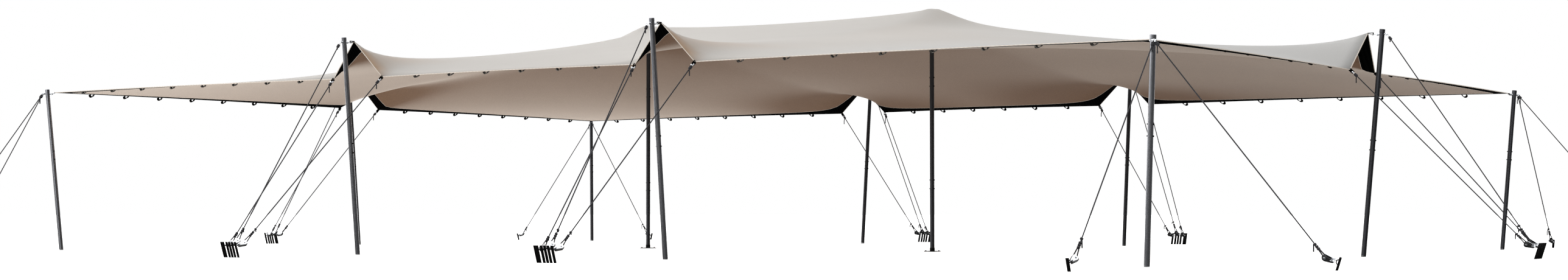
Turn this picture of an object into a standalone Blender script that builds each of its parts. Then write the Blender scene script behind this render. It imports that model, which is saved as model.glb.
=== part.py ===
"""Stretch tent: one sheet of stretch fabric held up on twelve poles and drawn tight by guy ropes to ground stakes.

Run it in Blender, from its text editor or with blender --background --python part.py.
Units are metres and +Z is up. The origin is on the ground under the middle of the tent, X runs along its long side and
Y across it. The front is the -Y side.
"""

import math

import bmesh
import bpy
import numpy as np
from mathutils import Matrix, Vector
from mathutils.bvhtree import BVHTree

# Plan of the pole feet on the ground
CORNER_FOOT_X = 7.50
CORNER_FOOT_Y = 5.26
SIDE_POLE_X = 2.19
SIDE_FOOT_Y = 5.30
END_FOOT_X = 7.57
CENTRE_POLE_X = 2.19

# Poles: 53 mm tubes whose heads lean outward
TUBE_RADIUS = 0.0265
HEAD_RADIUS = 0.0300
HEAD_HEIGHT = 0.040
CORNER_POLE_HEIGHT = 2.035
CORNER_LEAN = 0.136
SIDE_POLE_HEIGHT = 2.443
SIDE_LEAN = 0.235
END_LEAN = 0.230
POLE_SIDES = 12
BAR_SIDES = 8
BURIED_END = 0.030

# The shackle through the pole head, with the guy on its outer eye and the fabric on its inner end
SHACKLE_BELOW_TOP = 0.055
SHACKLE_RADIUS = 0.007
OUTER_EYE_REACH = 0.075
EYE_RADIUS = 0.016
EYE_HEIGHT = 0.036

# Centre poles: a base plate, the tube and a rounded head under the fabric
BASE_PLATE_SIZE = 0.150
BASE_PLATE_THICKNESS = 0.008
DOME_RADIUS = 0.075
DOME_RISE = 0.018
DOME_CROWN_RADIUS = 0.0375
DOME_CROWN_FALL = 0.0045
DOME_SKIRT = 0.030
DOME_SHOULDER_RADIUS = 0.060
DOME_SHOULDER_FALL = 0.012
PROBE_DEPTH = 0.5

# Canopy: heights of the mid surface above the ground
HEM_X = 7.58
HEM_Y = 5.32
CORNER_HEM_HEIGHT = 1.995
TIE_HEM_HEIGHT = 1.995
PEAK_HEM_HEIGHT = 2.407
ROOF_PEAK_HEIGHT = 2.955
TIE_SPREAD = 0.385
PEAK_PULL = 0.060
PULL_DEPTH = 1.000
HEM_BOW = 0.010
HEAD_PRINT_RADIUS = 0.135
HEAD_PRINT_FALL = 0.020
FABRIC_THICKNESS = 0.010

# How many times tighter the fabric is along the lines between pole heads than elsewhere, and each line's half width
RIDGE_TENSION = 45.0
RIDGE_WIDTH = 0.215
END_TENSION = 22.0
END_WIDTH = 0.46
CROSS_TENSION = 6.5
CROSS_WIDTH = 0.155
RIDGE_FADE = 0.15
# The share of the end lines' tension that is missing at a centre pole's head, and how far from it that lasts
HEAD_EASE = 0.77
HEAD_EASE_REACH = 0.71

# The grid that the sheet is relaxed on, as cells between the knots of each edge, and how many of them one face takes
CELLS_LONG = (40, 4, 4, 32, 4, 4, 40)
CELLS_SHORT = (40, 4, 4, 40)
FACE_LONG = (4, 2, 2, 4, 2, 2, 4)
FACE_SHORT = (4, 2, 2, 4)
RELAX_STEPS = 2500
OVER_RELAX = 1.95

# Ground stakes
CORNER_STAKE_END = (9.31, 5.48)
CORNER_STAKE_SIDE = (7.65, 7.04)
SIDE_CLUSTER_Y = 7.14
END_CLUSTER_X = 9.41
CORNER_STAKE_HEIGHT = 0.110
CLUSTER_STAKE_HEIGHT = 0.165
STAKE_WIDTH = 0.026
STAKE_DEPTH = 0.012
STAKE_LEAN = math.radians(18.0)
CLUSTER_STAKES = 6
CLUSTER_PITCH = 0.042
RING_FROM_TOP = 0.045
RING_BAR_RADIUS = 0.0075

# Pulley blocks between the stakes and the guys
ROD_RADIUS = 0.006
ROD_SIDES = 6
PULLEY_START = 0.045
PULLEY_LENGTH = 0.120
PULLEY_WIDTH = 0.056
PULLEY_THICKNESS = 0.030
PULLEY_SIDES = 12
ROD_TAIL = 0.020
PULLEY_PITCH = 0.084

# Guy ropes
ROPE_RADIUS = 0.006
GAP = 0.0003
REACH_RAYS = 96
REACH_RINGS = 4

COLLECTION_NAME = "stretch_tent"
GROUND_CUTTER_SIZE = (24.0, 20.0, 0.5)


def clear_scene():
    for old in list(bpy.data.objects):
        bpy.data.objects.remove(old, do_unlink=True)


def make_collection(name):
    collection = bpy.data.collections.new(name)
    bpy.context.scene.collection.children.link(collection)
    return collection


def make_material(name, colour, roughness, metallic):
    material = bpy.data.materials.new(name)
    material.use_nodes = True
    shader = material.node_tree.nodes["Principled BSDF"]
    shader.inputs["Base Color"].default_value = (*colour, 1.0)
    shader.inputs["Roughness"].default_value = roughness
    shader.inputs["Metallic"].default_value = metallic
    return material


def object_from_bmesh(name, mesh_data, collection):
    mesh = bpy.data.meshes.new(name)
    mesh_data.to_mesh(mesh)
    mesh_data.free()
    obj = bpy.data.objects.new(name, mesh)
    collection.objects.link(obj)
    return obj


def hide_as_cutter(obj):
    obj.hide_render = True
    obj.display_type = "WIRE"


def join_to(obj, cutter, operation):
    boolean = obj.modifiers.new(f"{operation.lower()}_{cutter.name}", "BOOLEAN")
    boolean.operation = operation
    boolean.solver = "EXACT"
    boolean.object = cutter


def evaluated_copy(obj):
    """The object's own mesh after its modifiers, in world coordinates."""
    graph = bpy.context.evaluated_depsgraph_get()
    mesh = bpy.data.meshes.new_from_object(obj.evaluated_get(graph))
    mesh.transform(obj.matrix_world)
    return mesh


def surface_of(obj):
    """A search tree of the object's faces and a list of its points, both in world coordinates."""
    bpy.context.view_layer.update()
    mesh = evaluated_copy(obj)
    points = [v.co.copy() for v in mesh.vertices]
    tree = BVHTree.FromPolygons(points, [tuple(p.vertices) for p in mesh.polygons])
    bpy.data.meshes.remove(mesh)
    return tree, points


def reach_to(surface, start, target, radius):
    """Where a round bar from start towards target ends, one gap short of the surface that it meets."""
    tree, points = surface
    direction = (target - start).normalized()
    across = direction.orthogonal().normalized()
    other = direction.cross(across)
    free = (target - start).length
    for ring in range(REACH_RINGS + 1):
        for step in range(REACH_RAYS):
            angle = math.tau * step / REACH_RAYS
            offset = ring / REACH_RINGS * radius * (math.cos(angle) * across + math.sin(angle) * other)
            hit = tree.ray_cast(start + offset, direction)
            if hit[0] is not None:
                free = min(free, hit[3])
    for point in points:
        along = (point - start).dot(direction)
        if along > 0 and (point - start - along * direction).length <= radius + GAP:
            free = min(free, along)
    return start + (free - GAP) * direction


def bar_mesh(mesh_data, start, end, radius, sides):
    """Adds a closed round bar from start to end."""
    axis = end - start
    turn = axis.to_track_quat("Z", "Y").to_matrix().to_4x4()
    place = Matrix.Translation((start + end) / 2) @ turn
    bmesh.ops.create_cone(
        mesh_data, cap_ends=True, segments=sides, radius1=radius, radius2=radius, depth=axis.length, matrix=place
    )


def bar_cutter(name, start, end, radius, sides, collection):
    mesh_data = bmesh.new()
    bar_mesh(mesh_data, start, end, radius, sides)
    bar = object_from_bmesh(name, mesh_data, collection)
    hide_as_cutter(bar)
    return bar


def turned(name, profile, collection):
    """A profile of (radius, height) pairs from top to bottom, turned about Z."""
    mesh = bpy.data.meshes.new(name)
    points = [(radius, 0.0, height) for radius, height in profile]
    mesh.from_pydata(points, [(i, i + 1) for i in range(len(points) - 1)], [])
    obj = bpy.data.objects.new(name, mesh)
    collection.objects.link(obj)
    screw = obj.modifiers.new("turn", "SCREW")
    screw.axis = "Z"
    screw.steps = POLE_SIDES
    screw.render_steps = POLE_SIDES
    screw.use_merge_vertices = True
    screw.merge_threshold = 0.0001
    screw.use_normal_calculate = False
    return obj


# The canopy


def knot_lines(knots, cells):
    """Grid lines that pass through every knot, with the given number of cells between each two."""
    lines = []
    for low, high, count in zip(knots[:-1], knots[1:], cells):
        lines += list(np.linspace(low, high, count, endpoint=False))
    return np.array(lines + [knots[-1]])


def kept_lines(cells, step):
    """Which of the grid lines the faces use."""
    kept = [0]
    for count, stride in zip(cells, step):
        first = kept[-1]
        kept += list(range(first + stride, first + count + 1, stride))
    return kept


def hem_heights(lines, knots, heights):
    """Straight hem between the knots, lifted a little in the middle of each long bay."""
    edge = np.interp(lines, knots, heights)
    for low, high in zip(knots[:-1], knots[1:]):
        if high - low > 2 * TIE_SPREAD:
            inside = (lines > low) & (lines < high)
            along = (lines[inside] - low) / (high - low)
            edge[inside] += 4 * HEM_BOW * along * (1 - along)
    return edge


def relaxed_sheet():
    """Grid lines in x and y and the sheet's height over them, as a net in balance between its supports."""
    knots_x = [-HEM_X]
    for centre in (-SIDE_POLE_X, SIDE_POLE_X):
        knots_x += [centre - TIE_SPREAD, centre, centre + TIE_SPREAD]
    knots_x.append(HEM_X)
    knots_y = [-HEM_Y, -TIE_SPREAD, 0.0, TIE_SPREAD, HEM_Y]
    peak = [TIE_HEM_HEIGHT, PEAK_HEM_HEIGHT, TIE_HEM_HEIGHT]
    x = knot_lines(knots_x, CELLS_LONG)
    y = knot_lines(knots_y, CELLS_SHORT)
    height = np.full((len(x), len(y)), (CORNER_HEM_HEIGHT + ROOF_PEAK_HEIGHT) / 2)
    long_hem = hem_heights(x, knots_x, [CORNER_HEM_HEIGHT] + peak + peak + [CORNER_HEM_HEIGHT])
    short_hem = hem_heights(y, knots_y, [CORNER_HEM_HEIGHT] + peak + [CORNER_HEM_HEIGHT])
    height[:, 0] = height[:, -1] = long_hem
    height[0, :] = height[-1, :] = short_hem

    # Tension along x rises on the ridge between the centre poles and on its run to the end poles
    middle_x = np.abs(x[1:] + x[:-1])[:, None] / 2
    between = 1 / (1 + np.exp(-(CENTRE_POLE_X - middle_x) / RIDGE_FADE))
    tension_x = 1 + (RIDGE_TENSION - 1) * np.exp(-((y[None, :] / RIDGE_WIDTH) ** 2)) * between
    eased = 1 - HEAD_EASE * np.exp(-(((middle_x - CENTRE_POLE_X) / HEAD_EASE_REACH) ** 2))
    tension_x = tension_x + (END_TENSION * eased - 1) * np.exp(-((y[None, :] / END_WIDTH) ** 2)) * (1 - between)
    # Tension along y rises on the lines from each centre pole to the side poles
    off_line = (np.abs(x[:, None]) - CENTRE_POLE_X) / CROSS_WIDTH
    tension_y = 1 + (CROSS_TENSION - 1) * np.exp(-(off_line**2)) * np.ones((1, len(y) - 1))
    step_x = np.diff(x)
    step_y = np.diff(y)
    width_x = np.r_[1, (step_x[1:] + step_x[:-1]) / 2, 1]
    width_y = np.r_[1, (step_y[1:] + step_y[:-1]) / 2, 1]
    pull_x = tension_x * width_y[None, :] / step_x[:, None]
    pull_y = tension_y * width_x[:, None] / step_y[None, :]
    west, east = pull_x[:-1, 1:-1], pull_x[1:, 1:-1]
    south, north = pull_y[1:-1, :-1], pull_y[1:-1, 1:]
    total = west + east + south + north

    grid_x, grid_y = np.meshgrid(x, y, indexing="ij")
    from_head = np.hypot(np.abs(grid_x) - CENTRE_POLE_X, grid_y)
    on_head = from_head <= HEAD_PRINT_RADIUS
    height[on_head] = ROOF_PEAK_HEIGHT - HEAD_PRINT_FALL * (from_head[on_head] / HEAD_PRINT_RADIUS) ** 2
    free = ~on_head[1:-1, 1:-1]
    odd = np.add.outer(np.arange(len(x) - 2), np.arange(len(y) - 2)) % 2 == 1
    inner = height[1:-1, 1:-1]
    for _ in range(RELAX_STEPS):
        for half in (free & odd, free & ~odd):
            balance = west * height[:-2, 1:-1] + east * height[2:, 1:-1]
            balance = balance + south * height[1:-1, :-2] + north * height[1:-1, 2:]
            change = OVER_RELAX * (balance / total - inner)
            inner[half] += change[half]
    return x, y, height


def pulled_plan(x, y):
    """The plan of the grid's points, drawn out towards the side pole around each peak."""
    plan_x, plan_y = np.meshgrid(x, y, indexing="ij")
    deep_x = np.clip(1 - (HEM_X - np.abs(plan_x)) / PULL_DEPTH, 0, 1) ** 2
    deep_y = np.clip(1 - (HEM_Y - np.abs(plan_y)) / PULL_DEPTH, 0, 1) ** 2
    near_x = np.clip(1 - np.abs(np.abs(plan_x) - SIDE_POLE_X) / TIE_SPREAD, 0, 1)
    near_y = np.clip(1 - np.abs(plan_y) / TIE_SPREAD, 0, 1)
    moved_x = plan_x + np.sign(plan_x) * PEAK_PULL * near_y * deep_x
    moved_y = plan_y + np.sign(plan_y) * PEAK_PULL * near_x * deep_y
    return moved_x, moved_y


def make_canopy(collection, material):
    """The sheet's faces are a loft over the relaxed net, which no primitive gives."""
    x, y, height = relaxed_sheet()
    plan_x, plan_y = pulled_plan(x, y)
    rows = kept_lines(CELLS_LONG, FACE_LONG)
    columns = kept_lines(CELLS_SHORT, FACE_SHORT)
    mesh_data = bmesh.new()
    grid = [[mesh_data.verts.new((plan_x[i, j], plan_y[i, j], height[i, j])) for j in columns] for i in rows]
    for i in range(len(rows) - 1):
        for j in range(len(columns) - 1):
            corners = (grid[i][j], grid[i + 1][j], grid[i + 1][j + 1], grid[i][j + 1])
            mesh_data.faces.new(corners)
    canopy = object_from_bmesh("canopy", mesh_data, collection)
    shell = canopy.modifiers.new("thickness", "SOLIDIFY")
    shell.thickness = FABRIC_THICKNESS
    shell.offset = 0.0
    canopy.data.materials.append(material)
    return canopy


# Poles


def pole_profile(length):
    return [
        (0.0, length),
        (HEAD_RADIUS, length),
        (HEAD_RADIUS, length - HEAD_HEIGHT),
        (TUBE_RADIUS, length - HEAD_HEIGHT),
        (TUBE_RADIUS, -BURIED_END),
        (0.0, -BURIED_END),
    ]


def make_edge_pole(name, foot, head, hem_point, canopy_surface, parts, cutters, ground, material):
    """A leaning tube cut flat at the ground, with the shackle through its head that holds the fabric and the guys."""
    axis = (head - foot).normalized()
    pole = turned(name, pole_profile((head - foot).length), parts)
    pole.location = foot
    pole.rotation_mode = "QUATERNION"
    pole.rotation_quaternion = axis.to_track_quat("Z", "Y")
    pole.data.materials.append(material)

    bolt = head - SHACKLE_BELOW_TOP * axis
    outward = Vector((bolt.x - hem_point.x, bolt.y - hem_point.y, 0.0)).normalized()
    eye = bolt + OUTER_EYE_REACH * outward
    tip = reach_to(canopy_surface, bolt, hem_point, SHACKLE_RADIUS)
    inner = bar_cutter(f"{name}_inner_shackle", bolt, tip, SHACKLE_RADIUS, BAR_SIDES, cutters)
    outer = bar_cutter(f"{name}_outer_shackle", bolt, eye, SHACKLE_RADIUS, BAR_SIDES, cutters)
    half_eye = Vector((0.0, 0.0, EYE_HEIGHT / 2))
    ring = bar_cutter(f"{name}_eye", eye - half_eye, eye + half_eye, EYE_RADIUS, BAR_SIDES, cutters)
    for piece in (inner, outer, ring):
        join_to(pole, piece, "UNION")
    join_to(pole, ground, "DIFFERENCE")
    return pole, eye


def make_centre_pole(name, x, canopy_surface, parts, material):
    """An upright tube on a square base plate, with a rounded head that the fabric lies on."""
    length = ROOF_PEAK_HEIGHT
    profile = [
        (0.0, length),
        (DOME_CROWN_RADIUS, length - DOME_CROWN_FALL),
        (DOME_RADIUS, length - DOME_RISE),
        (DOME_SHOULDER_RADIUS, length - DOME_RISE - DOME_SHOULDER_FALL),
        (TUBE_RADIUS, length - DOME_RISE - DOME_SKIRT),
        (TUBE_RADIUS, BASE_PLATE_THICKNESS / 2),
        (0.0, BASE_PLATE_THICKNESS / 2),
    ]
    # The head is lowered until every point of its top lies one gap under the fabric
    room = length
    for radius, height in profile[:3]:
        for step in range(POLE_SIDES * 2):
            angle = math.pi * step / POLE_SIDES
            low_point = Vector((x + radius * math.cos(angle), radius * math.sin(angle), height - PROBE_DEPTH))
            hit = canopy_surface[0].ray_cast(low_point, Vector((0.0, 0.0, 1.0)))
            room = min(room, hit[3] - PROBE_DEPTH)
    lowered = [(radius, height + room - GAP) for radius, height in profile[:5]]
    pole = turned(name, lowered + profile[5:], parts)
    pole.location = (x, 0.0, 0.0)
    pole.data.materials.append(material)
    return pole


def make_base_plate(name, x, collection):
    mesh_data = bmesh.new()
    scale = Matrix.Diagonal((BASE_PLATE_SIZE, BASE_PLATE_SIZE, BASE_PLATE_THICKNESS, 1.0))
    place = Matrix.Translation((x, 0.0, BASE_PLATE_THICKNESS / 2))
    bmesh.ops.create_cube(mesh_data, size=1.0, matrix=place @ scale)
    plate = object_from_bmesh(name, mesh_data, collection)
    hide_as_cutter(plate)
    return plate


# Stakes, pulley blocks and guys


def stake_cutter(name, foot, outward, height, collection):
    """A flat steel bar driven in with its head leaning away from the pull."""
    along = Vector((0.0, 0.0, 1.0)).cross(outward)
    axis = (Vector((0.0, 0.0, 1.0)) + math.tan(STAKE_LEAN) * outward).normalized()
    depth_way = axis.cross(along)
    length = height / axis.z + BURIED_END
    centre = foot + axis * (length / 2 - BURIED_END)
    turn = Matrix((along, depth_way, axis)).transposed().to_4x4()
    scale = Matrix.Diagonal((STAKE_WIDTH, STAKE_DEPTH, length, 1.0))
    mesh_data = bmesh.new()
    bmesh.ops.create_cube(mesh_data, size=1.0, matrix=Matrix.Translation(centre) @ turn @ scale)
    everything = mesh_data.verts[:] + mesh_data.edges[:] + mesh_data.faces[:]
    bmesh.ops.bisect_plane(mesh_data, geom=everything, plane_co=(0, 0, 0), plane_no=(0, 0, 1), clear_inner=True)
    bmesh.ops.holes_fill(mesh_data, edges=[edge for edge in mesh_data.edges if edge.is_boundary])
    return object_from_bmesh(name, mesh_data, collection), axis


def pulley_cutters(name, ring_point, pull_point, collection):
    """A rod along the pull with the pulley's two cheeks as one oval block on it, and where the rope starts."""
    direction = (pull_point - ring_point).normalized()
    rod_end = ring_point + (PULLEY_START + PULLEY_LENGTH + ROD_TAIL) * direction
    rod = bar_cutter(f"{name}_rod", ring_point, rod_end, ROD_RADIUS, ROD_SIDES, collection)
    centre = ring_point + (PULLEY_START + PULLEY_LENGTH / 2) * direction
    side = Vector((0.0, 0.0, 1.0)).cross(direction).normalized()
    up = side.cross(direction)
    turn = Matrix((direction, up, side)).transposed().to_4x4()
    scale = Matrix.Diagonal((PULLEY_LENGTH / 2, PULLEY_WIDTH / 2, PULLEY_THICKNESS, 1.0))
    mesh_data = bmesh.new()
    bmesh.ops.create_cone(
        mesh_data,
        cap_ends=True,
        segments=PULLEY_SIDES,
        radius1=1.0,
        radius2=1.0,
        depth=1.0,
        matrix=Matrix.Translation(centre) @ turn @ scale,
    )
    block = object_from_bmesh(f"{name}_block", mesh_data, collection)
    hide_as_cutter(block)
    return [rod, block], rod_end + GAP * direction


def make_corner_stake(name, foot, pull_point, parts, cutters, material):
    """One stake with its pulley block. Returns where the rope starts."""
    outward = Vector((foot.x - pull_point.x, foot.y - pull_point.y, 0.0)).normalized()
    stake, axis = stake_cutter(name, foot, outward, CORNER_STAKE_HEIGHT, parts)
    ring_point = foot + axis * (CORNER_STAKE_HEIGHT / axis.z - RING_FROM_TOP)
    pieces, rope_start = pulley_cutters(name, ring_point, pull_point, cutters)
    for piece in pieces:
        join_to(stake, piece, "UNION")
    stake.data.materials.append(material)
    return rope_start


def make_stake_cluster(name, middle, outward, pull_points, parts, cutters, material):
    """Six stakes in a close row, with a ring bar through them that carries three pulley blocks. Returns rope starts."""
    along = Vector((0.0, 0.0, 1.0)).cross(outward)
    stakes = []
    for index in range(CLUSTER_STAKES):
        shift = (index - (CLUSTER_STAKES - 1) / 2) * CLUSTER_PITCH
        holder = parts if index == 0 else cutters
        piece_name = name if index == 0 else f"{name}_stake_{index}"
        stake, axis = stake_cutter(piece_name, middle + shift * along, outward, CLUSTER_STAKE_HEIGHT, holder)
        stakes.append(stake)
    first = stakes[0]
    ring_middle = middle + axis * (CLUSTER_STAKE_HEIGHT / axis.z - RING_FROM_TOP)
    half_row = (CLUSTER_STAKES - 1) / 2 * CLUSTER_PITCH * along
    bar = bar_cutter(
        f"{name}_ring_bar", ring_middle - half_row, ring_middle + half_row, RING_BAR_RADIUS, BAR_SIDES, cutters
    )
    join_to(first, bar, "UNION")
    for stake in stakes[1:]:
        hide_as_cutter(stake)
        join_to(first, stake, "UNION")
    starts = []
    for index, pull_point in enumerate(pull_points):
        ring_point = ring_middle + (index - 1) * PULLEY_PITCH * along
        pieces, rope_start = pulley_cutters(f"{name}_{index}", ring_point, pull_point, cutters)
        for piece in pieces:
            join_to(first, piece, "UNION")
        starts.append(rope_start)
    first.data.materials.append(material)
    return starts


def make_guy(name, start, target, surface, collection, material):
    """A taut rope from a pulley block to the eye or hem that it holds."""
    end = reach_to(surface, start, target, ROPE_RADIUS)
    curve = bpy.data.curves.new(name, "CURVE")
    curve.dimensions = "3D"
    curve.bevel_depth = ROPE_RADIUS
    curve.bevel_resolution = 2
    curve.use_fill_caps = True
    spline = curve.splines.new("POLY")
    spline.points.add(1)
    spline.points[0].co = (*start, 1.0)
    spline.points[1].co = (*end, 1.0)
    guy = bpy.data.objects.new(name, curve)
    collection.objects.link(guy)
    curve.materials.append(material)
    return guy


def make_ground_cutter(collection):
    """Everything below ground level is cut away."""
    mesh_data = bmesh.new()
    place = Matrix.Translation((0.0, 0.0, -GROUND_CUTTER_SIZE[2] / 2))
    bmesh.ops.create_cube(mesh_data, size=1.0, matrix=place @ Matrix.Diagonal((*GROUND_CUTTER_SIZE, 1.0)))
    ground = object_from_bmesh("ground_cutter", mesh_data, collection)
    hide_as_cutter(ground)
    return ground


def build():
    clear_scene()
    parts = make_collection(COLLECTION_NAME)
    cutters = make_collection("cutters")
    fabric = make_material("stretch_fabric", (0.58, 0.55, 0.51), 0.85, 0.0)
    aluminium = make_material("anodised_aluminium", (0.09, 0.09, 0.10), 0.40, 0.9)
    rope = make_material("braided_rope", (0.035, 0.035, 0.038), 0.80, 0.0)
    steel = make_material("painted_steel", (0.03, 0.03, 0.03), 0.50, 0.3)
    ground = make_ground_cutter(cutters)

    canopy = make_canopy(parts, fabric)
    canopy_surface = surface_of(canopy)

    for side, name in ((-1, "centre_pole_left"), (1, "centre_pole_right")):
        x = side * CENTRE_POLE_X
        pole = make_centre_pole(name, x, canopy_surface, parts, aluminium)
        join_to(pole, make_base_plate(f"{name}_plate", x, cutters), "UNION")

    corners = (("front_left", -1, -1), ("front_right", 1, -1), ("back_right", 1, 1), ("back_left", -1, 1))
    for place, sx, sy in corners:
        foot = Vector((sx * CORNER_FOOT_X, sy * CORNER_FOOT_Y, 0.0))
        head = foot + Vector((sx * CORNER_LEAN, sy * CORNER_LEAN, CORNER_POLE_HEIGHT))
        hem_point = Vector((sx * HEM_X, sy * HEM_Y, CORNER_HEM_HEIGHT))
        pole, eye = make_edge_pole(
            f"corner_pole_{place}", foot, head, hem_point, canopy_surface, parts, cutters, ground, aluminium
        )
        pole_surface = surface_of(pole)
        for way, spot in (("end", CORNER_STAKE_END), ("side", CORNER_STAKE_SIDE)):
            stake_foot = Vector((sx * spot[0], sy * spot[1], 0.0))
            start = make_corner_stake(f"corner_stake_{place}_{way}", stake_foot, eye, parts, cutters, steel)
            make_guy(f"corner_guy_{place}_{way}", start, eye, pole_surface, parts, rope)

    out_x, out_y = Vector((1.0, 0.0, 0.0)), Vector((0.0, 1.0, 0.0))
    sides = (
        ("front_left", -out_y, -SIDE_POLE_X),
        ("front_right", -out_y, SIDE_POLE_X),
        ("right", out_x, 0.0),
        ("back_right", out_y, SIDE_POLE_X),
        ("back_left", out_y, -SIDE_POLE_X),
        ("left", -out_x, 0.0),
    )
    for place, outward, shift in sides:
        is_end = abs(outward.x) > 0.5
        along = Vector((0.0, 1.0, 0.0)) if is_end else Vector((1.0, 0.0, 0.0))
        foot = (END_FOOT_X if is_end else SIDE_FOOT_Y) * outward + shift * along
        lean = END_LEAN if is_end else SIDE_LEAN
        head = foot + lean * outward + Vector((0.0, 0.0, SIDE_POLE_HEIGHT))
        hem = (HEM_X if is_end else HEM_Y) * outward + shift * along
        peak = hem + PEAK_PULL * outward + Vector((0.0, 0.0, PEAK_HEM_HEIGHT))
        tie_low = hem - TIE_SPREAD * along + Vector((0.0, 0.0, TIE_HEM_HEIGHT))
        tie_high = hem + TIE_SPREAD * along + Vector((0.0, 0.0, TIE_HEM_HEIGHT))
        pole, eye = make_edge_pole(
            f"side_pole_{place}", foot, head, peak, canopy_surface, parts, cutters, ground, aluminium
        )
        middle = (END_CLUSTER_X if is_end else SIDE_CLUSTER_Y) * outward + shift * along
        targets = [tie_low, eye, tie_high]
        row_way = Vector((0.0, 0.0, 1.0)).cross(outward)
        if row_way.dot(along) < 0:
            targets.reverse()
        starts = make_stake_cluster(f"stake_cluster_{place}", middle, outward, targets, parts, cutters, steel)
        surfaces = [canopy_surface, surface_of(pole), canopy_surface]
        names = [f"hem_guy_{place}_1", f"pole_guy_{place}", f"hem_guy_{place}_2"]
        for name, start, target, surface in zip(names, starts, targets, surfaces):
            make_guy(name, start, target, surface, parts, rope)


build()
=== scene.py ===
# %% [markdown]
# # A stretch tent, built as it is pitched
# A stretch tent is one sheet of knitted fabric that is pulled tight between poles and guy ropes. Nothing in it
# is stiff except the poles, so the sheet's shape is the shape of a net in balance. The CAD model has every
# pole, rope and stake in its place. This script loads that model and dresses it: it makes the real sheet,
# tubes, ropes, shackles and pulley blocks over the plain solids, and gives each its material.

# %% Load the frame
import math

import bpy
import numpy as np
from mathutils import Matrix, Vector
from mathutils.bvhtree import BVHTree


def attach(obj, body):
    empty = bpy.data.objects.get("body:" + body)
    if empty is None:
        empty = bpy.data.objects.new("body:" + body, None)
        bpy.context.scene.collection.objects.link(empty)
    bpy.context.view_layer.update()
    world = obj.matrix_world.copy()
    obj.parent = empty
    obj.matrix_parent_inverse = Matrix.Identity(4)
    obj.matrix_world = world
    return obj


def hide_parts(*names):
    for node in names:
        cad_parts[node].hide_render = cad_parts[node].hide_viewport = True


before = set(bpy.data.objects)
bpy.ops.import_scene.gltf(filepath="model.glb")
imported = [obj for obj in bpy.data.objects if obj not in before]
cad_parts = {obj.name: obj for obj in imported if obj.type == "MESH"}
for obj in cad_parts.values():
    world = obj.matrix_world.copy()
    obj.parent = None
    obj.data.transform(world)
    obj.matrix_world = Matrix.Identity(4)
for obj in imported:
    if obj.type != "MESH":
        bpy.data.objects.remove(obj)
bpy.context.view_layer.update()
RIGHT, BACK, UP = Vector((1.0, 0.0, 0.0)), Vector((0.0, 1.0, 0.0)), Vector((0.0, 0.0, 1.0))

# %% [markdown]
# ## The camera
# The photograph was taken from low down, near the tent's front right corner, with a longish lens. The place,
# the turn and the lens were found from the feet and the heads of the poles, whose spots on the ground are known
# from the CAD. The lens is the focal length in picture widths, times Blender's 36 mm sensor.

# %% Place the camera
CAMERA_PLACE = (15.807, -22.945, 0.487)
CAMERA_TURN = math.radians(34.559)
CAMERA_TILT = math.radians(90.0 + 1.871)
FOCAL_WIDTHS = 3596.0 / 2576.0

camera_data = bpy.data.cameras.new("camera")
camera_data.lens = FOCAL_WIDTHS * 36.0
camera_data.clip_end = 600.0
camera = bpy.data.objects.new("camera", camera_data)
camera.location = CAMERA_PLACE
camera.rotation_euler = (CAMERA_TILT, 0.0, CAMERA_TURN)
bpy.context.scene.collection.objects.link(camera)
bpy.context.scene.camera = camera
print("lens:", round(camera_data.lens, 2), "mm")

# %% [markdown]
# ## Colours and nodes
# Colours are read as the eye names them, in sRGB, and a shader wants them linear, so one function turns one
# into the other. A second one adds a node with its settings. Each input that it names gets a value, or is
# joined to another node's output. Every material below is made with these.

# %% Helpers for materials
def linear(hex_colour):
    """An sRGB hex colour as the linear RGBA value that a shader takes."""
    channels = [int(hex_colour[i : i + 2], 16) / 255 for i in (1, 3, 5)]
    return (*[c / 12.92 if c <= 0.04045 else ((c + 0.055) / 1.055) ** 2.4 for c in channels], 1.0)


def add_node(tree, kind, inputs=None, **settings):
    """Adds a node with its settings. Each input gets a value, or is joined to another node's output."""
    node = tree.nodes.new(kind)
    for name, value in settings.items():
        setattr(node, name, value)
    for name, source in (inputs or {}).items():
        if isinstance(source, bpy.types.NodeSocket):
            tree.links.new(source, node.inputs[name])
        else:
            node.inputs[name].default_value = source
    return node


def start_material(name, **values):
    """A material with a Principled shader whose named sockets are set, and its node tree and shader."""
    material = bpy.data.materials.new(name)
    material.use_nodes = True
    shader = material.node_tree.nodes["Principled BSDF"]
    for socket, value in values.items():
        shader.inputs[socket.replace("_", " ")].default_value = value
    return material, material.node_tree, shader


print("mid grey #808080 is", round(linear("#808080")[0], 3), "in linear light")

# %% [markdown]
# ## Floor and light
# The tent stands on a plain pale floor in front of white, as in a photographer's studio. The light comes from a
# big soft sky that is bright on the left and falls off to the right. So flanks that face left are pale and
# flanks that face right are in soft shade. The camera itself sees plain white behind, and a floor that is lit
# from within, like a light table, so that it stays white under the roof. Shiny metal would mirror all that
# white, so in mirrored rays the floor and the right side are nearly black, as if flagged with black cloth. That
# gives each pole a light and a dark side.

# %% Make the stage
FLOOR_SIZE = 500.0
FLOOR_MOTTLE = 2.5
GLOW_LEFT = 0.52
GLOW_RIGHT = 0.20
FLOOR_SEEN = 1.0
FLOOR_MIRRORED = 0.05
# Each sky has the facing where it starts to rise, the facing where it is brightest, and its two strengths.
SKY_LIT = (-0.35, 0.75, 0.16, 1.36)
SKY_MIRRORED = (-0.44, 0.04, 0.04, 2.8)
LIGHT_WAY = Vector((-0.78, -0.12, 0.60))

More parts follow.
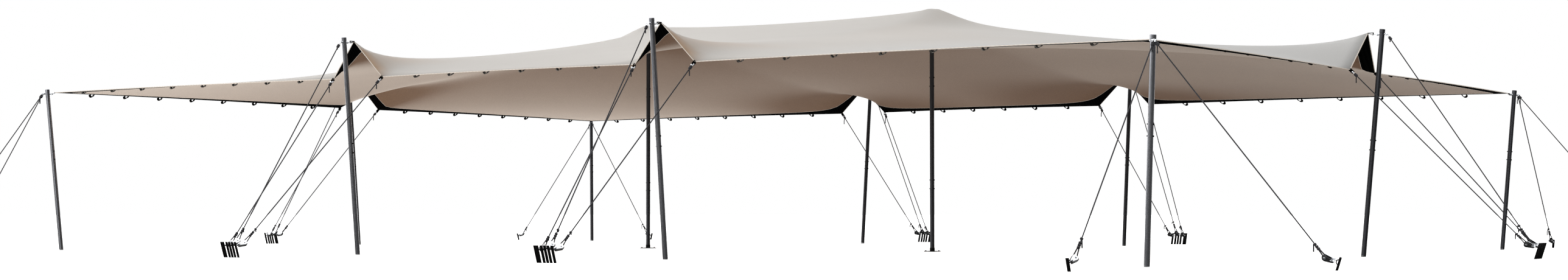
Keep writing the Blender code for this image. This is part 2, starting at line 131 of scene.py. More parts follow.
bpy.context.scene.view_settings.view_transform = "Standard"
bpy.ops.object.select_all(action="DESELECT")
bpy.ops.mesh.primitive_plane_add(size=FLOOR_SIZE, location=(0.0, 0.0, -0.002))
floor = bpy.context.object
floor.name = "floor"
floor_paint, floor_tree, floor_shader = start_material(
    "studio_floor_paint", Roughness=0.9, Emission_Color=(1.0, 1.0, 1.0, 1.0)
)
floor_place = add_node(floor_tree, "ShaderNodeTexCoord").outputs["Object"]
floor_mottle = add_node(
    floor_tree, "ShaderNodeTexNoise", {"Vector": floor_place, "Scale": 1.0 / FLOOR_MOTTLE, "Detail": 4.0}
)
floor_tone = add_node(
    floor_tree,
    "ShaderNodeMix",
    {0: floor_mottle.outputs["Fac"], 6: linear("#c2c2c1"), 7: linear("#cacac9")},
    data_type="RGBA",
)
floor_across = add_node(floor_tree, "ShaderNodeSeparateXYZ", {0: floor_place}).outputs["X"]
floor_light = add_node(
    floor_tree,
    "ShaderNodeMapRange",
    {"Value": floor_across, "From Min": -10.0, "From Max": 8.0, "To Min": GLOW_LEFT, "To Max": GLOW_RIGHT},
)
sight = add_node(floor_tree, "ShaderNodeLightPath").outputs
floor_flagged = add_node(
    floor_tree,
    "ShaderNodeMix",
    {0: sight["Is Glossy Ray"], 2: floor_light.outputs["Result"], 3: FLOOR_MIRRORED},
    data_type="FLOAT",
)
floor_glow = add_node(
    floor_tree,
    "ShaderNodeMix",
    {0: sight["Is Camera Ray"], 2: floor_flagged.outputs[0], 3: FLOOR_SEEN},
    data_type="FLOAT",
)
floor_colour = add_node(
    floor_tree,
    "ShaderNodeMix",
    {0: sight["Is Glossy Ray"], 6: floor_tone.outputs[2], 7: linear("#3c3c3c")},
    data_type="RGBA",
)
floor_tree.links.new(floor_colour.outputs[2], floor_shader.inputs["Base Color"])
floor_tree.links.new(floor_glow.outputs[0], floor_shader.inputs["Emission Strength"])
floor.data.materials.append(floor_paint)

sky = bpy.data.worlds.new("studio_sky")
sky.use_nodes = True
sky_tree = sky.node_tree
sky_way = add_node(sky_tree, "ShaderNodeTexCoord").outputs["Generated"]
facing = add_node(
    sky_tree, "ShaderNodeVectorMath", {0: sky_way, 1: LIGHT_WAY.normalized()}, operation="DOT_PRODUCT"
)
boxes = []
for start, end, dim, bright in (SKY_LIT, SKY_MIRRORED):
    soft_box = add_node(
        sky_tree,
        "ShaderNodeMapRange",
        {"Value": facing.outputs["Value"], "From Min": start, "From Max": end, "To Min": dim, "To Max": bright},
        interpolation_type="SMOOTHSTEP",
    )
    boxes.append(soft_box.outputs["Result"])
seen = add_node(sky_tree, "ShaderNodeLightPath").outputs
lighting = add_node(
    sky_tree, "ShaderNodeMix", {0: seen["Is Glossy Ray"], 2: boxes[0], 3: boxes[1]}, data_type="FLOAT"
)
strength = add_node(
    sky_tree, "ShaderNodeMix", {0: seen["Is Camera Ray"], 2: lighting.outputs[0], 3: 1.0}, data_type="FLOAT"
)
background = sky_tree.nodes["Background"]
background.inputs["Color"].default_value = (1.0, 1.0, 1.0, 1.0)
sky_tree.links.new(strength.outputs[0], background.inputs["Strength"])
bpy.context.scene.world = sky
print("stage: floor and soft sky")

# %% [markdown]
# ## The fabric
# Stretch tents are sewn from knitted polyester with elastane, coated on top to shed rain. From a few metres the
# knit is a fine even grain, and the coating a dull skin. Where the cloth falls steeply to the right, at the
# peaks and over the centre poles, the coat is tinted tan as painted shade, for flanks that face away from the
# light. It is also painted greyer and darker towards its right end, as painted shade. The underside has no
# coat: it is the tan yarn itself and rougher, with painted light and shade laid over it. A real stitch is about
# 1 mm, too fine for the render, so the grain is drawn at about 9 mm. Both faces read the same object coordinates
# from above, so the knit runs on over the sheet without a seam.

# %% Make the two faces of the fabric
STITCH = 0.009
CLOUD = 1.6


def knit(name, coat, shaded_end_coat, shaded_end_over, painted_shading_tone, shading_by, shading_over, grain, roughness, bump):
    """Knitted cloth with painted shade towards its right end, and a painted shading tone where an attribute is
    high.
    """
    material, tree, shader = start_material(
        name, Roughness=roughness, Specular_IOR_Level=0.05, Sheen_Weight=0.08, Sheen_Roughness=0.6
    )
    place = add_node(tree, "ShaderNodeTexCoord").outputs["Object"]
    stitches = add_node(
        tree, "ShaderNodeTexNoise", {"Vector": place, "Scale": 1.0 / STITCH, "Detail": 2.0, "Roughness": 0.6}
    ).outputs["Fac"]
    clouds = add_node(tree, "ShaderNodeTexNoise", {"Vector": place, "Scale": 1.0 / CLOUD, "Detail": 3.0})
    amount = add_node(tree, "ShaderNodeAttribute", attribute_name=shading_by).outputs["Fac"]
    along = add_node(tree, "ShaderNodeSeparateXYZ", {0: place}).outputs["X"]
    cloth = linear(coat)
    # Painted shade towards the right end, then the painted shading tone where the attribute is high.
    for value, (start, end), colour in ((along, shaded_end_over, shaded_end_coat), (amount, shading_over, painted_shading_tone)):
        share = add_node(
            tree,
            "ShaderNodeMapRange",
            {"Value": value, "From Min": start, "From Max": end},
            interpolation_type="SMOOTHSTEP",
        )
        cloth = add_node(
            tree,
            "ShaderNodeMix",
            {0: share.outputs["Result"], 6: cloth, 7: linear(colour)},
            data_type="RGBA",
        ).outputs[2]
    cloudy = add_node(
        tree,
        "ShaderNodeMapRange",
        {"Value": clouds.outputs["Fac"], "From Min": 0.3, "From Max": 0.7, "To Min": 0.97, "To Max": 1.03},
    )
    grained = add_node(
        tree,
        "ShaderNodeMapRange",
        {"Value": stitches, "From Min": 0.25, "From Max": 0.75, "To Min": 1.0 - grain, "To Max": 1.0 + grain},
    )
    shade = add_node(
        tree,
        "ShaderNodeMath",
        {0: cloudy.outputs["Result"], 1: grained.outputs["Result"]},
        operation="MULTIPLY",
    )
    tone = add_node(tree, "ShaderNodeVectorMath", {0: cloth, "Scale": shade.outputs[0]}, operation="SCALE")
    relief = add_node(tree, "ShaderNodeBump", {"Strength": bump, "Distance": 0.002, "Height": stitches})
    tree.links.new(tone.outputs[0], shader.inputs["Base Color"])
    tree.links.new(relief.outputs["Normal"], shader.inputs["Normal"])
    return material


# The coat's tan tint on flanks that fall to the right, and its darker right end, are painted shade.
coated_knit = knit(
    name="coated_knit_polyester",
    coat="#c7c3be",
    shaded_end_coat="#c0bfbd",
    shaded_end_over=(2.8, 6.0),
    painted_shading_tone="#ba9674",
    shading_by="right_flank_shade",
    shading_over=(0.05, 0.38),
    grain=0.03,
    roughness=0.72,
    bump=0.15,
)
# The underside's pale tone and its darker right end are painted light and shade.
bare_knit = knit(
    name="bare_knit_polyester",
    coat="#7f644f",
    shaded_end_coat="#7d624e",
    shaded_end_over=(-7.0, 7.0),
    painted_shading_tone="#ecdfd2",
    shading_by="painted_underside_light",
    shading_over=(0.0, 1.0),
    grain=0.22,
    roughness=0.92,
    bump=0.35,
)
print("fabric grain", STITCH * 1000, "mm")

# %% [markdown]
# ## Webbing, hem tape and rope
# The edge of the sheet is doubled with a wide black webbing band sewn to its underside, because the hem takes
# the whole pull of the ropes. Its edge is bound with a cream tape. Polyester webbing is woven in ribs across
# its width, usually about 2.5 mm apart. That is too fine to show, so they are drawn 47.5 mm apart. The guys are
# braided polyester rope: two sets of yarns cross each other round the rope. Their pattern follows the rope in
# its own UV map, where V runs along it in metres, and it repeats every 36 mm, coarser than a real braid, for
# the same reason.

# %% Make the textile materials
# A diagonal wave repeats each time its three scaled coordinates add up to this much.
WAVE_TURN = math.tau / 10.0
RIB = 0.0475
BRAID_PITCH = 0.036
BRAID_STRANDS = 2.0


def ribbed(name, low, high, roughness):
    """Woven tape with ribs, for webbing and binding."""
    material, tree, shader = start_material(name, Roughness=roughness, Specular_IOR_Level=0.02)
    place = add_node(tree, "ShaderNodeTexCoord").outputs["Object"]
    ribs = add_node(
        tree,
        "ShaderNodeTexWave",
        {"Vector": place, "Scale": WAVE_TURN / RIB, "Distortion": 0.4, "Detail": 1.0},
        bands_direction="DIAGONAL",
    ).outputs["Fac"]
    tone = add_node(tree, "ShaderNodeMix", {0: ribs, 6: linear(low), 7: linear(high)}, data_type="RGBA")
    relief = add_node(tree, "ShaderNodeBump", {"Strength": 0.3, "Distance": 0.001, "Height": ribs})
    tree.links.new(tone.outputs[2], shader.inputs["Base Color"])
    tree.links.new(relief.outputs["Normal"], shader.inputs["Normal"])
    return material


def braided(name, low, high):
    """Braided rope from two crossing waves on the UV map."""
    material, tree, shader = start_material(name, Roughness=0.75, Specular_IOR_Level=0.3)
    place = add_node(tree, "ShaderNodeTexCoord").outputs["UV"]
    waves = []
    for hand in (1.0, -1.0):
        scale = (hand * BRAID_STRANDS * WAVE_TURN, WAVE_TURN / BRAID_PITCH, 1.0)
        turned = add_node(tree, "ShaderNodeMapping", {"Vector": place, "Scale": scale}).outputs["Vector"]
        wave = add_node(
            tree,
            "ShaderNodeTexWave",
            {"Vector": turned, "Scale": 1.0, "Distortion": 0.0},
            bands_direction="DIAGONAL",
        )
        waves.append(wave.outputs["Fac"])
    crossed = add_node(tree, "ShaderNodeMath", {0: waves[0], 1: waves[1]}, operation="MAXIMUM").outputs[0]
    tone = add_node(tree, "ShaderNodeMix", {0: crossed, 6: linear(low), 7: linear(high)}, data_type="RGBA")
    relief = add_node(tree, "ShaderNodeBump", {"Strength": 0.5, "Distance": 0.001, "Height": crossed})
    tree.links.new(tone.outputs[2], shader.inputs["Base Color"])
    tree.links.new(relief.outputs["Normal"], shader.inputs["Normal"])
    return material


# Each tape has its name, its colour between the ribs and on them, and its roughness.
black_webbing = ribbed("woven_black_webbing", "#020202", "#070707", 0.95)
# A grey copy of the black webbing, as painted light for the spare loops along the front hem.
painted_light_webbing = ribbed("black_webbing_painted_light", "#3a3835", "#77736e", 0.7)
cream_tape = ribbed("woven_cream_hem_tape", "#e9ddd0", "#f4ebe0", 0.75)
braided_rope = braided("braided_polyester_rope", "#1d1d1f", "#3c3c40")
print("textiles: webbing, tape and rope")

# %% [markdown]
# ## Metals
# The poles are dark grey anodised aluminium. They are drawn through a die and then dyed in the anodising bath,
# which leaves faint lines along the tube and a satin gloss. The foot plugs are bare, brighter metal. Shackles
# and pulley cheeks are steel dipped in zinc, a bright, slightly blotchy grey. The stakes are steel with black
# paint, chipped where a hammer and stones meet it. Metals keep the default IOR, and their colour is the colour
# of their reflection.

# %% Make the metal materials
DRAW_LINE = 0.004


def worn_metal(name, low, high, roughness, spread, metallic, scale, stretch_z):
    """A metal or painted metal whose tone and roughness vary with a noise, drawn out along Z if asked."""
    material, tree, shader = start_material(name, Metallic=metallic)
    place = add_node(tree, "ShaderNodeTexCoord").outputs["Object"]
    drawn = add_node(tree, "ShaderNodeMapping", {"Vector": place, "Scale": (1.0, 1.0, stretch_z)})
    wear = add_node(
        tree,
        "ShaderNodeTexNoise",
        {"Vector": drawn.outputs["Vector"], "Scale": 1.0 / scale, "Detail": 5.0, "Roughness": 0.6},
    ).outputs["Fac"]
    dull, bright = roughness + spread, roughness - spread
    gloss = add_node(
        tree,
        "ShaderNodeMapRange",
        {"Value": wear, "From Min": 0.3, "From Max": 0.7, "To Min": bright, "To Max": dull},
    )
    tone = add_node(tree, "ShaderNodeMix", {0: wear, 6: linear(low), 7: linear(high)}, data_type="RGBA")
    relief = add_node(tree, "ShaderNodeBump", {"Strength": 0.15, "Distance": 0.0005, "Height": wear})
    tree.links.new(tone.outputs[2], shader.inputs["Base Color"])
    tree.links.new(gloss.outputs["Result"], shader.inputs["Roughness"])
    tree.links.new(relief.outputs["Normal"], shader.inputs["Normal"])
    return material


# Each has its name, its darker and lighter colour, its roughness and how far that varies, how metallic it is,
# the size of its wear in metres, and what the wear's Z is multiplied by: less than 1 draws it out along the tube.
dark_anodised = worn_metal("dark_anodised_aluminium", "#7c7d82", "#96979b", 0.22, 0.04, 0.94, DRAW_LINE, 0.02)
# A darker, rougher copy of the anodised aluminium: painted shade for the poles at the ends, along the back and in
# the middle.
shade_painted_anodised = worn_metal(
    "dark_anodised_aluminium_painted_shade", "#333437", "#3f4044", 0.45, 0.05, 0.85, DRAW_LINE, 0.02
)
bare_aluminium = worn_metal("rubbed_bare_aluminium", "#9b9c9e", "#bfc0c2", 0.40, 0.08, 1.0, DRAW_LINE, 0.1)
zinc = worn_metal("hot_dip_zinc", "#b2b5b9", "#e6e8eb", 0.34, 0.10, 1.0, 0.012, 1.0)
black_steel = worn_metal("black_painted_steel", "#080809", "#141415", 0.50, 0.12, 0.0, 0.008, 1.0)
black_steel.node_tree.nodes["Principled BSDF"].inputs["Specular IOR Level"].default_value = 0.10
black_nylon = worn_metal("moulded_black_nylon", "#101011", "#2c2d2f", 0.45, 0.08, 0.0, 0.006, 1.0)
print("metals: anodised, bare, zinc, painted")

# %% [markdown]
# ## The sheet in balance
# The fabric is a net of threads that pull on each other. Each point of the net rests where the pulls of its
# four neighbours are in balance, so the sheet's shape is found by moving every point to that height again and
# again. Its edge is held: low where ropes tie it down, high at the side poles. Inside, the two pole heads hold
# it up. The lines between the poles pull harder than the rest, so they stand up as ridges. How much harder is
# not a measured property of such cloth: values were tried until the upper outline lay closest to the
# photograph's, and then rounded. These are the same net and numbers as the CAD's, so the sheet lies where its
# solid does. Lengths are in metres.

# %% Say where the sheet is held
SIDE_POLE_X = 2.19
CENTRE_POLE_X = 2.19
HEM_X = 7.58
HEM_Y = 5.32
CORNER_HEM_HEIGHT = 1.995
TIE_HEM_HEIGHT = 1.995
PEAK_HEM_HEIGHT = 2.407
ROOF_PEAK_HEIGHT = 2.955
TIE_SPREAD = 0.385
PEAK_PULL = 0.060
PULL_DEPTH = 1.000
HEM_BOW = 0.010
HEAD_PRINT_RADIUS = 0.135
HEAD_PRINT_FALL = 0.020

RIDGE_TENSION = 45.0
RIDGE_WIDTH = 0.215
END_TENSION = 22.0
END_WIDTH = 0.46
CROSS_TENSION = 6.5
CROSS_WIDTH = 0.155
RIDGE_FADE = 0.15
HEAD_EASE = 0.77
HEAD_EASE_REACH = 0.71

CELLS_LONG = (40, 4, 4, 32, 4, 4, 40)
CELLS_SHORT = (40, 4, 4, 40)
RELAX_STEPS = 2500
OVER_RELAX = 1.95


def knot_lines(knots, cells):
    """Grid lines that pass through every knot, with the given number of cells between each two."""
    lines = []
    for low, high, count in zip(knots[:-1], knots[1:], cells):
        lines += list(np.linspace(low, high, count, endpoint=False))
    return np.array(lines + [knots[-1]])


def hem_heights(lines, knots, heights):
    """Straight hem between the knots, lifted a little in the middle of each long bay."""
    edge = np.interp(lines, knots, heights)
    for low, high in zip(knots[:-1], knots[1:]):
        if high - low > 2 * TIE_SPREAD:
            inside = (lines > low) & (lines < high)
            along = (lines[inside] - low) / (high - low)
            edge[inside] += 4 * HEM_BOW * along * (1 - along)
    return edge


KNOTS_X = [-HEM_X]
for pole_x in (-SIDE_POLE_X, SIDE_POLE_X):
    KNOTS_X += [pole_x - TIE_SPREAD, pole_x, pole_x + TIE_SPREAD]
KNOTS_X.append(HEM_X)
KNOTS_Y = [-HEM_Y, -TIE_SPREAD, 0.0, TIE_SPREAD, HEM_Y]
print("knots along the hem:", len(KNOTS_X), "by", len(KNOTS_Y))


# %% Find the balance
def relaxed_sheet():
    """Grid lines in x and y and the sheet's height over them, as a net in balance between its supports."""
    peak = [TIE_HEM_HEIGHT, PEAK_HEM_HEIGHT, TIE_HEM_HEIGHT]
    x = knot_lines(KNOTS_X, CELLS_LONG)
    y = knot_lines(KNOTS_Y, CELLS_SHORT)
    height = np.full((len(x), len(y)), (CORNER_HEM_HEIGHT + ROOF_PEAK_HEIGHT) / 2)
    height[:, 0] = height[:, -1] = hem_heights(x, KNOTS_X, [CORNER_HEM_HEIGHT] + peak + peak + [CORNER_HEM_HEIGHT])
    height[0, :] = height[-1, :] = hem_heights(y, KNOTS_Y, [CORNER_HEM_HEIGHT] + peak + [CORNER_HEM_HEIGHT])

    middle_x = np.abs(x[1:] + x[:-1])[:, None] / 2
    between = 1 / (1 + np.exp(-(CENTRE_POLE_X - middle_x) / RIDGE_FADE))
    tension_x = 1 + (RIDGE_TENSION - 1) * np.exp(-((y[None, :] / RIDGE_WIDTH) ** 2)) * between
    eased = 1 - HEAD_EASE * np.exp(-(((middle_x - CENTRE_POLE_X) / HEAD_EASE_REACH) ** 2))
    tension_x = tension_x + (END_TENSION * eased - 1) * np.exp(-((y[None, :] / END_WIDTH) ** 2)) * (1 - between)
    off_line = (np.abs(x[:, None]) - CENTRE_POLE_X) / CROSS_WIDTH
    tension_y = 1 + (CROSS_TENSION - 1) * np.exp(-(off_line**2)) * np.ones((1, len(y) - 1))
    step_x = np.diff(x)
    step_y = np.diff(y)
    width_x = np.r_[1, (step_x[1:] + step_x[:-1]) / 2, 1]
    width_y = np.r_[1, (step_y[1:] + step_y[:-1]) / 2, 1]
    pull_x = tension_x * width_y[None, :] / step_x[:, None]
    pull_y = tension_y * width_x[:, None] / step_y[None, :]
    west, east = pull_x[:-1, 1:-1], pull_x[1:, 1:-1]
    south, north = pull_y[1:-1, :-1], pull_y[1:-1, 1:]
    total = west + east + south + north

    grid_x, grid_y = np.meshgrid(x, y, indexing="ij")
    from_head = np.hypot(np.abs(grid_x) - CENTRE_POLE_X, grid_y)
    on_head = from_head <= HEAD_PRINT_RADIUS
    height[on_head] = ROOF_PEAK_HEIGHT - HEAD_PRINT_FALL * (from_head[on_head] / HEAD_PRINT_RADIUS) ** 2
    free = ~on_head[1:-1, 1:-1]
    odd = np.add.outer(np.arange(len(x) - 2), np.arange(len(y) - 2)) % 2 == 1
    inner = height[1:-1, 1:-1]
    for _ in range(RELAX_STEPS):
        for half in (free & odd, free & ~odd):
            balance = west * height[:-2, 1:-1] + east * height[2:, 1:-1]
            balance = balance + south * height[1:-1, :-2] + north * height[1:-1, 2:]
            change = OVER_RELAX * (balance / total - inner)
            inner[half] += change[half]
    return x, y, height


net_x, net_y, net_height = relaxed_sheet()
print("net", len(net_x), "by", len(net_y), "height", round(net_height.min(), 3), "to", round(net_height.max(), 3))

# %% [markdown]
# ## From net to cloth
# The net gets one more line along each edge, where the webbing band ends, so that band and cloth meet in a
# clean line. Solidify gives the cloth its thickness. The upper face keeps the coated knit and the lower one
# takes the bare knit, or webbing within the band. Two amounts of painted light and shade are stored on the
# sheet's points. The first is how steeply the sheet falls to the right, for the coat's tan tint, which is
# painted shade. The second is how bright the underside is painted. In the photograph, cloth under the roof that
# lies or faces to the left and the back is paler, and the folds inside the back peaks are dark. The second
# amount follows that as painted light and painted shade, and its numbers were matched to the photograph. So it
# stays when the lighting is changed.

# %% Make the sheet
FABRIC_THICKNESS = 0.006
BAND_WIDTH = 0.15
LEAST_CELL = 0.02
ABOVE, BELOW, BAND = 0, 1, 2

# These shape the coat's tan tint, which is painted shade on flanks that face right, away from the light.
TINT_HALF_LENGTH = 5.2
TINT_FADE = 0.35
ANY_SLOPE_TINT = 0.06
RIDGE_PALE = 0.75
RIDGE_PALE_WIDTH = 1.2
HEM_PALE_WIDTH = 0.8
HEM_TINT = 0.25

# These give the underside's painted light and shade, with painted shade in the folds inside the back peaks.
UNDERSIDE = 0.50
UNDERSIDE_TO_RIGHT = -0.015
RISING_TO_RIGHT = -1.25
RISING_TO_BACK = 1.40
BACK_FOLD_SHADE = -0.42
FOLD_LENGTH = 1.5
FOLD_DEPTH = 1.05


def height_at(x, y):
    """Height of the sheet's middle over a place, from the four net points round it."""
    i = int(np.clip(np.searchsorted(net_x, x) - 1, 0, len(net_x) - 2))
    j = int(np.clip(np.searchsorted(net_y, y) - 1, 0, len(net_y) - 2))
    u = (x - net_x[i]) / (net_x[i + 1] - net_x[i])
    v = (y - net_y[j]) / (net_y[j + 1] - net_y[j])
    near = net_height[i, j] * (1 - u) + net_height[i + 1, j] * u
    far = net_height[i, j + 1] * (1 - u) + net_height[i + 1, j + 1] * u
    return near * (1 - v) + far * v


def with_band_lines(lines, edge):
    """The lines with one more at the band's inner side, in place of any that lies too close to it."""
    extra = [BAND_WIDTH - edge, edge - BAND_WIDTH]
    kept = [v for v in lines if min(abs(v - e) for e in extra) > LEAST_CELL]
    return np.array(sorted(kept + extra))


def pulled_plan(x, y):
    """The plan of the grid's points, drawn out towards the side pole around each peak."""
    plan_x, plan_y = np.meshgrid(x, y, indexing="ij")
    deep_x = np.clip(1 - (HEM_X - np.abs(plan_x)) / PULL_DEPTH, 0, 1) ** 2
    deep_y = np.clip(1 - (HEM_Y - np.abs(plan_y)) / PULL_DEPTH, 0, 1) ** 2
    near_x = np.clip(1 - np.abs(np.abs(plan_x) - SIDE_POLE_X) / TIE_SPREAD, 0, 1)
    near_y = np.clip(1 - np.abs(plan_y) / TIE_SPREAD, 0, 1)
    moved_x = plan_x + np.sign(plan_x) * PEAK_PULL * near_y * deep_x
    moved_y = plan_y + np.sign(plan_y) * PEAK_PULL * near_x * deep_y
    return moved_x, moved_y


sheet_x = with_band_lines(net_x, HEM_X)
sheet_y = with_band_lines(net_y, HEM_Y)
plan_x, plan_y = pulled_plan(sheet_x, sheet_y)
sheet_height = np.array([[height_at(x, y) for y in sheet_y] for x in sheet_x])
slope_x, slope_y = np.gradient(sheet_height, sheet_x, sheet_y)
# The coat's painted shade: tan where the cloth falls to the right, kept off the ends, the ridge line and the hem.
middle_part = 1 / (1 + np.exp((np.abs(sheet_x) - TINT_HALF_LENGTH) / TINT_FADE))
off_ridge = 1 - RIDGE_PALE * np.exp(-((sheet_y / RIDGE_PALE_WIDTH) ** 2))
off_hem = np.clip((HEM_Y - np.abs(sheet_y)) / HEM_PALE_WIDTH, HEM_TINT, 1.0)
right_flank_shade = np.clip(-slope_x, 0.0, None) + ANY_SLOPE_TINT * np.hypot(slope_x, slope_y)
right_flank_shade = right_flank_shade * middle_part[:, None] * off_ridge * off_hem
# The underside's painted light: paler to the left and where it faces left or back, with painted shade in the back
# folds.
far_x, far_y = np.meshgrid(np.abs(sheet_x) - SIDE_POLE_X, sheet_y - HEM_Y, indexing="ij")
back_fold_shade = np.exp(-((far_x / FOLD_LENGTH) ** 2) - (far_y / FOLD_DEPTH) ** 2)
painted_underside_light = UNDERSIDE + UNDERSIDE_TO_RIGHT * plan_x + BACK_FOLD_SHADE * back_fold_shade
painted_underside_light = painted_underside_light + RISING_TO_RIGHT * slope_x + RISING_TO_BACK * slope_y

sheet_points = np.stack([plan_x, plan_y, sheet_height], axis=-1).reshape(-1, 3).tolist()
rows = len(sheet_y)
sheet_faces = [
    (i * rows + j, (i + 1) * rows + j, (i + 1) * rows + j + 1, i * rows + j + 1)
    for i in range(len(sheet_x) - 1)
    for j in range(rows - 1)
]
sheet_mesh = bpy.data.meshes.new("stretch_sheet")
sheet_mesh.from_pydata(sheet_points, [], sheet_faces)
for attribute_name, values in (("right_flank_shade", right_flank_shade), ("painted_underside_light", painted_underside_light)):
    attribute = sheet_mesh.attributes.new(attribute_name, "FLOAT", "POINT")
    attribute.data.foreach_set("value", values.ravel().astype(np.float32))
stretch_sheet = bpy.data.objects.new("stretch_sheet", sheet_mesh)
bpy.context.scene.collection.objects.link(stretch_sheet)
for material in (coated_knit, bare_knit, black_webbing):
    sheet_mesh.materials.append(material)
for face, (corner, _, opposite, _) in zip(sheet_mesh.polygons, sheet_faces):
    i, j = (corner // rows + opposite // rows) // 2, (corner % rows + opposite % rows) // 2
    from_end = HEM_X - abs(sheet_x[i] + sheet_x[i + 1]) / 2
    from_side = HEM_Y - abs(sheet_y[j] + sheet_y[j + 1]) / 2
    face.material_index = BAND if min(from_end, from_side) < BAND_WIDTH else BELOW

bpy.ops.object.select_all(action="DESELECT")
bpy.context.view_layer.objects.active = stretch_sheet
stretch_sheet.select_set(True)
thickness = stretch_sheet.modifiers.new("thickness", "SOLIDIFY")
thickness.thickness = FABRIC_THICKNESS
thickness.offset = 0.0
bpy.ops.object.modifier_apply(modifier="thickness")
for face in stretch_sheet.data.polygons:
    if face.normal.z > -0.05:
        face.material_index = ABOVE
    face.use_smooth = abs(face.normal.z) > 0.05
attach(stretch_sheet, "root")
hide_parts("canopy")
print("sheet faces:", len(stretch_sheet.data.polygons))

# %% [markdown]
# ## Modelling by hand, from code
# The hard parts are modelled as one would in the window: add a primitive, pick some faces, extrude, scale,
# spin. An operator works on whatever is selected, so each helper first deselects everything. Turned parts such
# as tubes, bolts and sheaves come from one motion: the end face is pulled along and widened or narrowed, step
# by step, as on a lathe.

# %% Helpers that add, pick and extrude
def only(*pieces):
    """Selects these pieces and nothing else, and makes the first one active."""
    bpy.ops.object.select_all(action="DESELECT")
    for piece in pieces:
        piece.select_set(True)
    bpy.context.view_layer.objects.active = pieces[0]


def start_from(add, name, **options):
    """Deselects everything, adds a primitive, names it and applies its place, turn and scale to its mesh."""
    bpy.ops.object.select_all(action="DESELECT")
    add(**options)
    bpy.ops.object.transform_apply(location=True, rotation=True, scale=True)
    piece = bpy.context.object
    piece.name = name
    return piece


def pick(piece, wanted, kind="FACE"):
    """Opens the piece in edit mode with the faces or points selected that pass the test on place and normal."""
    only(piece)
    bpy.ops.object.mode_set(mode="EDIT")
    bpy.ops.mesh.select_mode(type=kind)
    bpy.ops.mesh.select_all(action="DESELECT")
    bpy.ops.object.mode_set(mode="OBJECT")
    if kind == "FACE":
        for face in piece.data.polygons:
            face.select = wanted(face.center, face.normal)
    else:
        for point in piece.data.vertices:
            point.select = wanted(point.co, point.normal)
    bpy.ops.object.mode_set(mode="EDIT")


def close_edit():
    """Turns the faces outward and leaves edit mode."""
    bpy.ops.mesh.normals_make_consistent(inside=False)
    bpy.ops.object.mode_set(mode="OBJECT")


def draw_out(x, y, z):
    """Extrudes the selected faces and moves them along."""
    bpy.ops.mesh.extrude_region_move(TRANSFORM_OT_translate={"value": (x, y, z)})


def widen(x, y, z, height):
    """Scales what is selected about the point of the Z axis at a height."""
    bpy.ops.transform.resize(value=(x, y, z), center_override=(0.0, 0.0, height))


def cut_below(piece, height=0.0, way=(0, 0, 1)):
    """Cuts off and closes what lies below a height, measured along Z or another way."""
    pick(piece, lambda place, normal: True)
    bpy.ops.mesh.bisect(plane_co=Vector(way) * height, plane_no=way, clear_inner=True, use_fill=True)
    close_edit()


def moved(x=0.0, y=0.0, z=0.0):
    """The matrix of a move."""
    return Matrix.Translation((x, y, z))


def lathe(name, profile, sides):
    """A turned solid: a disc pulled up along Z through (height, radius) steps."""
    first_height, first_radius = profile[0]
    height, radius = profile[1]
    piece = start_from(
        bpy.ops.mesh.primitive_cylinder_add,
        name,
        vertices=sides,
        radius=first_radius,
        depth=height - first_height,
        location=(0.0, 0.0, (first_height + height) / 2),
    )
    pick(piece, lambda place, normal: normal.z > 0.9 and place.z > height - 1e-5)
    if abs(radius - first_radius) > 1e-6:
        share = radius / first_radius
        widen(share, share, 1.0, height)
    for next_height, next_radius in profile[2:]:
        share = next_radius / radius
        draw_out(0.0, 0.0, next_height - height)
        widen(share, share, 1.0, next_height)
        height, radius = next_height, next_radius
    close_edit()
    return piece


def joined(name, pieces):
    """Several objects as one, with the first one's materials in front."""
    only(*pieces)
    bpy.ops.object.join()
    pieces[0].name = name
    return pieces[0]


def copy_at(master, name, place):
    """A copy with a mesh of its own, whose place is in that mesh."""
    piece = master.copy()
    piece.data = master.data.copy()
    piece.data.transform(place @ master.matrix_world)
    piece.matrix_world = Matrix.Identity(4)
    piece.name = name
    bpy.context.scene.collection.objects.link(piece)
    return piece


def dress(piece, material, angle=40.0):
    """Gives a model its material and smooth shading over all but its sharp edges."""
    piece.data.materials.clear()
    piece.data.materials.append(material)
    only(piece)
    bpy.ops.object.shade_smooth_by_angle(angle=math.radians(angle))
    return piece


def hand_over(piece, slot, *nodes):
    """The piece rides on the tent's one body and stands for the CAD nodes that it is made over."""
    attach(piece, "root")
    if nodes:
        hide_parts(*nodes)
    return piece


def frame_of(origin, z_way, x_way):
    """A matrix that takes local Z along one direction and local X as near as it can to another."""
    z_axis = z_way.normalized()
    y_axis = z_axis.cross(x_way).normalized()
    x_axis = y_axis.cross(z_axis)
    return Matrix.Translation(origin) @ Matrix((x_axis, y_axis, z_axis)).transposed().to_4x4()


SIDEWAYS = Matrix.Rotation(math.radians(90.0), 4, "Y")
workbench = []
print("workbench ready")

# %% [markdown]
# ## Bolts and shackles
# A hexagon bolt is a turned shank with a six-sided head. A bow shackle is one bar bent into a U, with a pin
# through its two ears. The bar is a small disc that is pulled straight for each leg and spun through half a
# turn for the bow.

# %% Model a bolt
BOLT_RADIUS = 0.0045
BOLT_OUT = 0.004
WASHER = ((0.0, 0.0095), (0.0015, 0.0095))
BOLT_HEAD = ((0.0, 0.0078), (0.0055, 0.0078), (0.0065, 0.0066))
TUBE_RADIUS = 0.0265


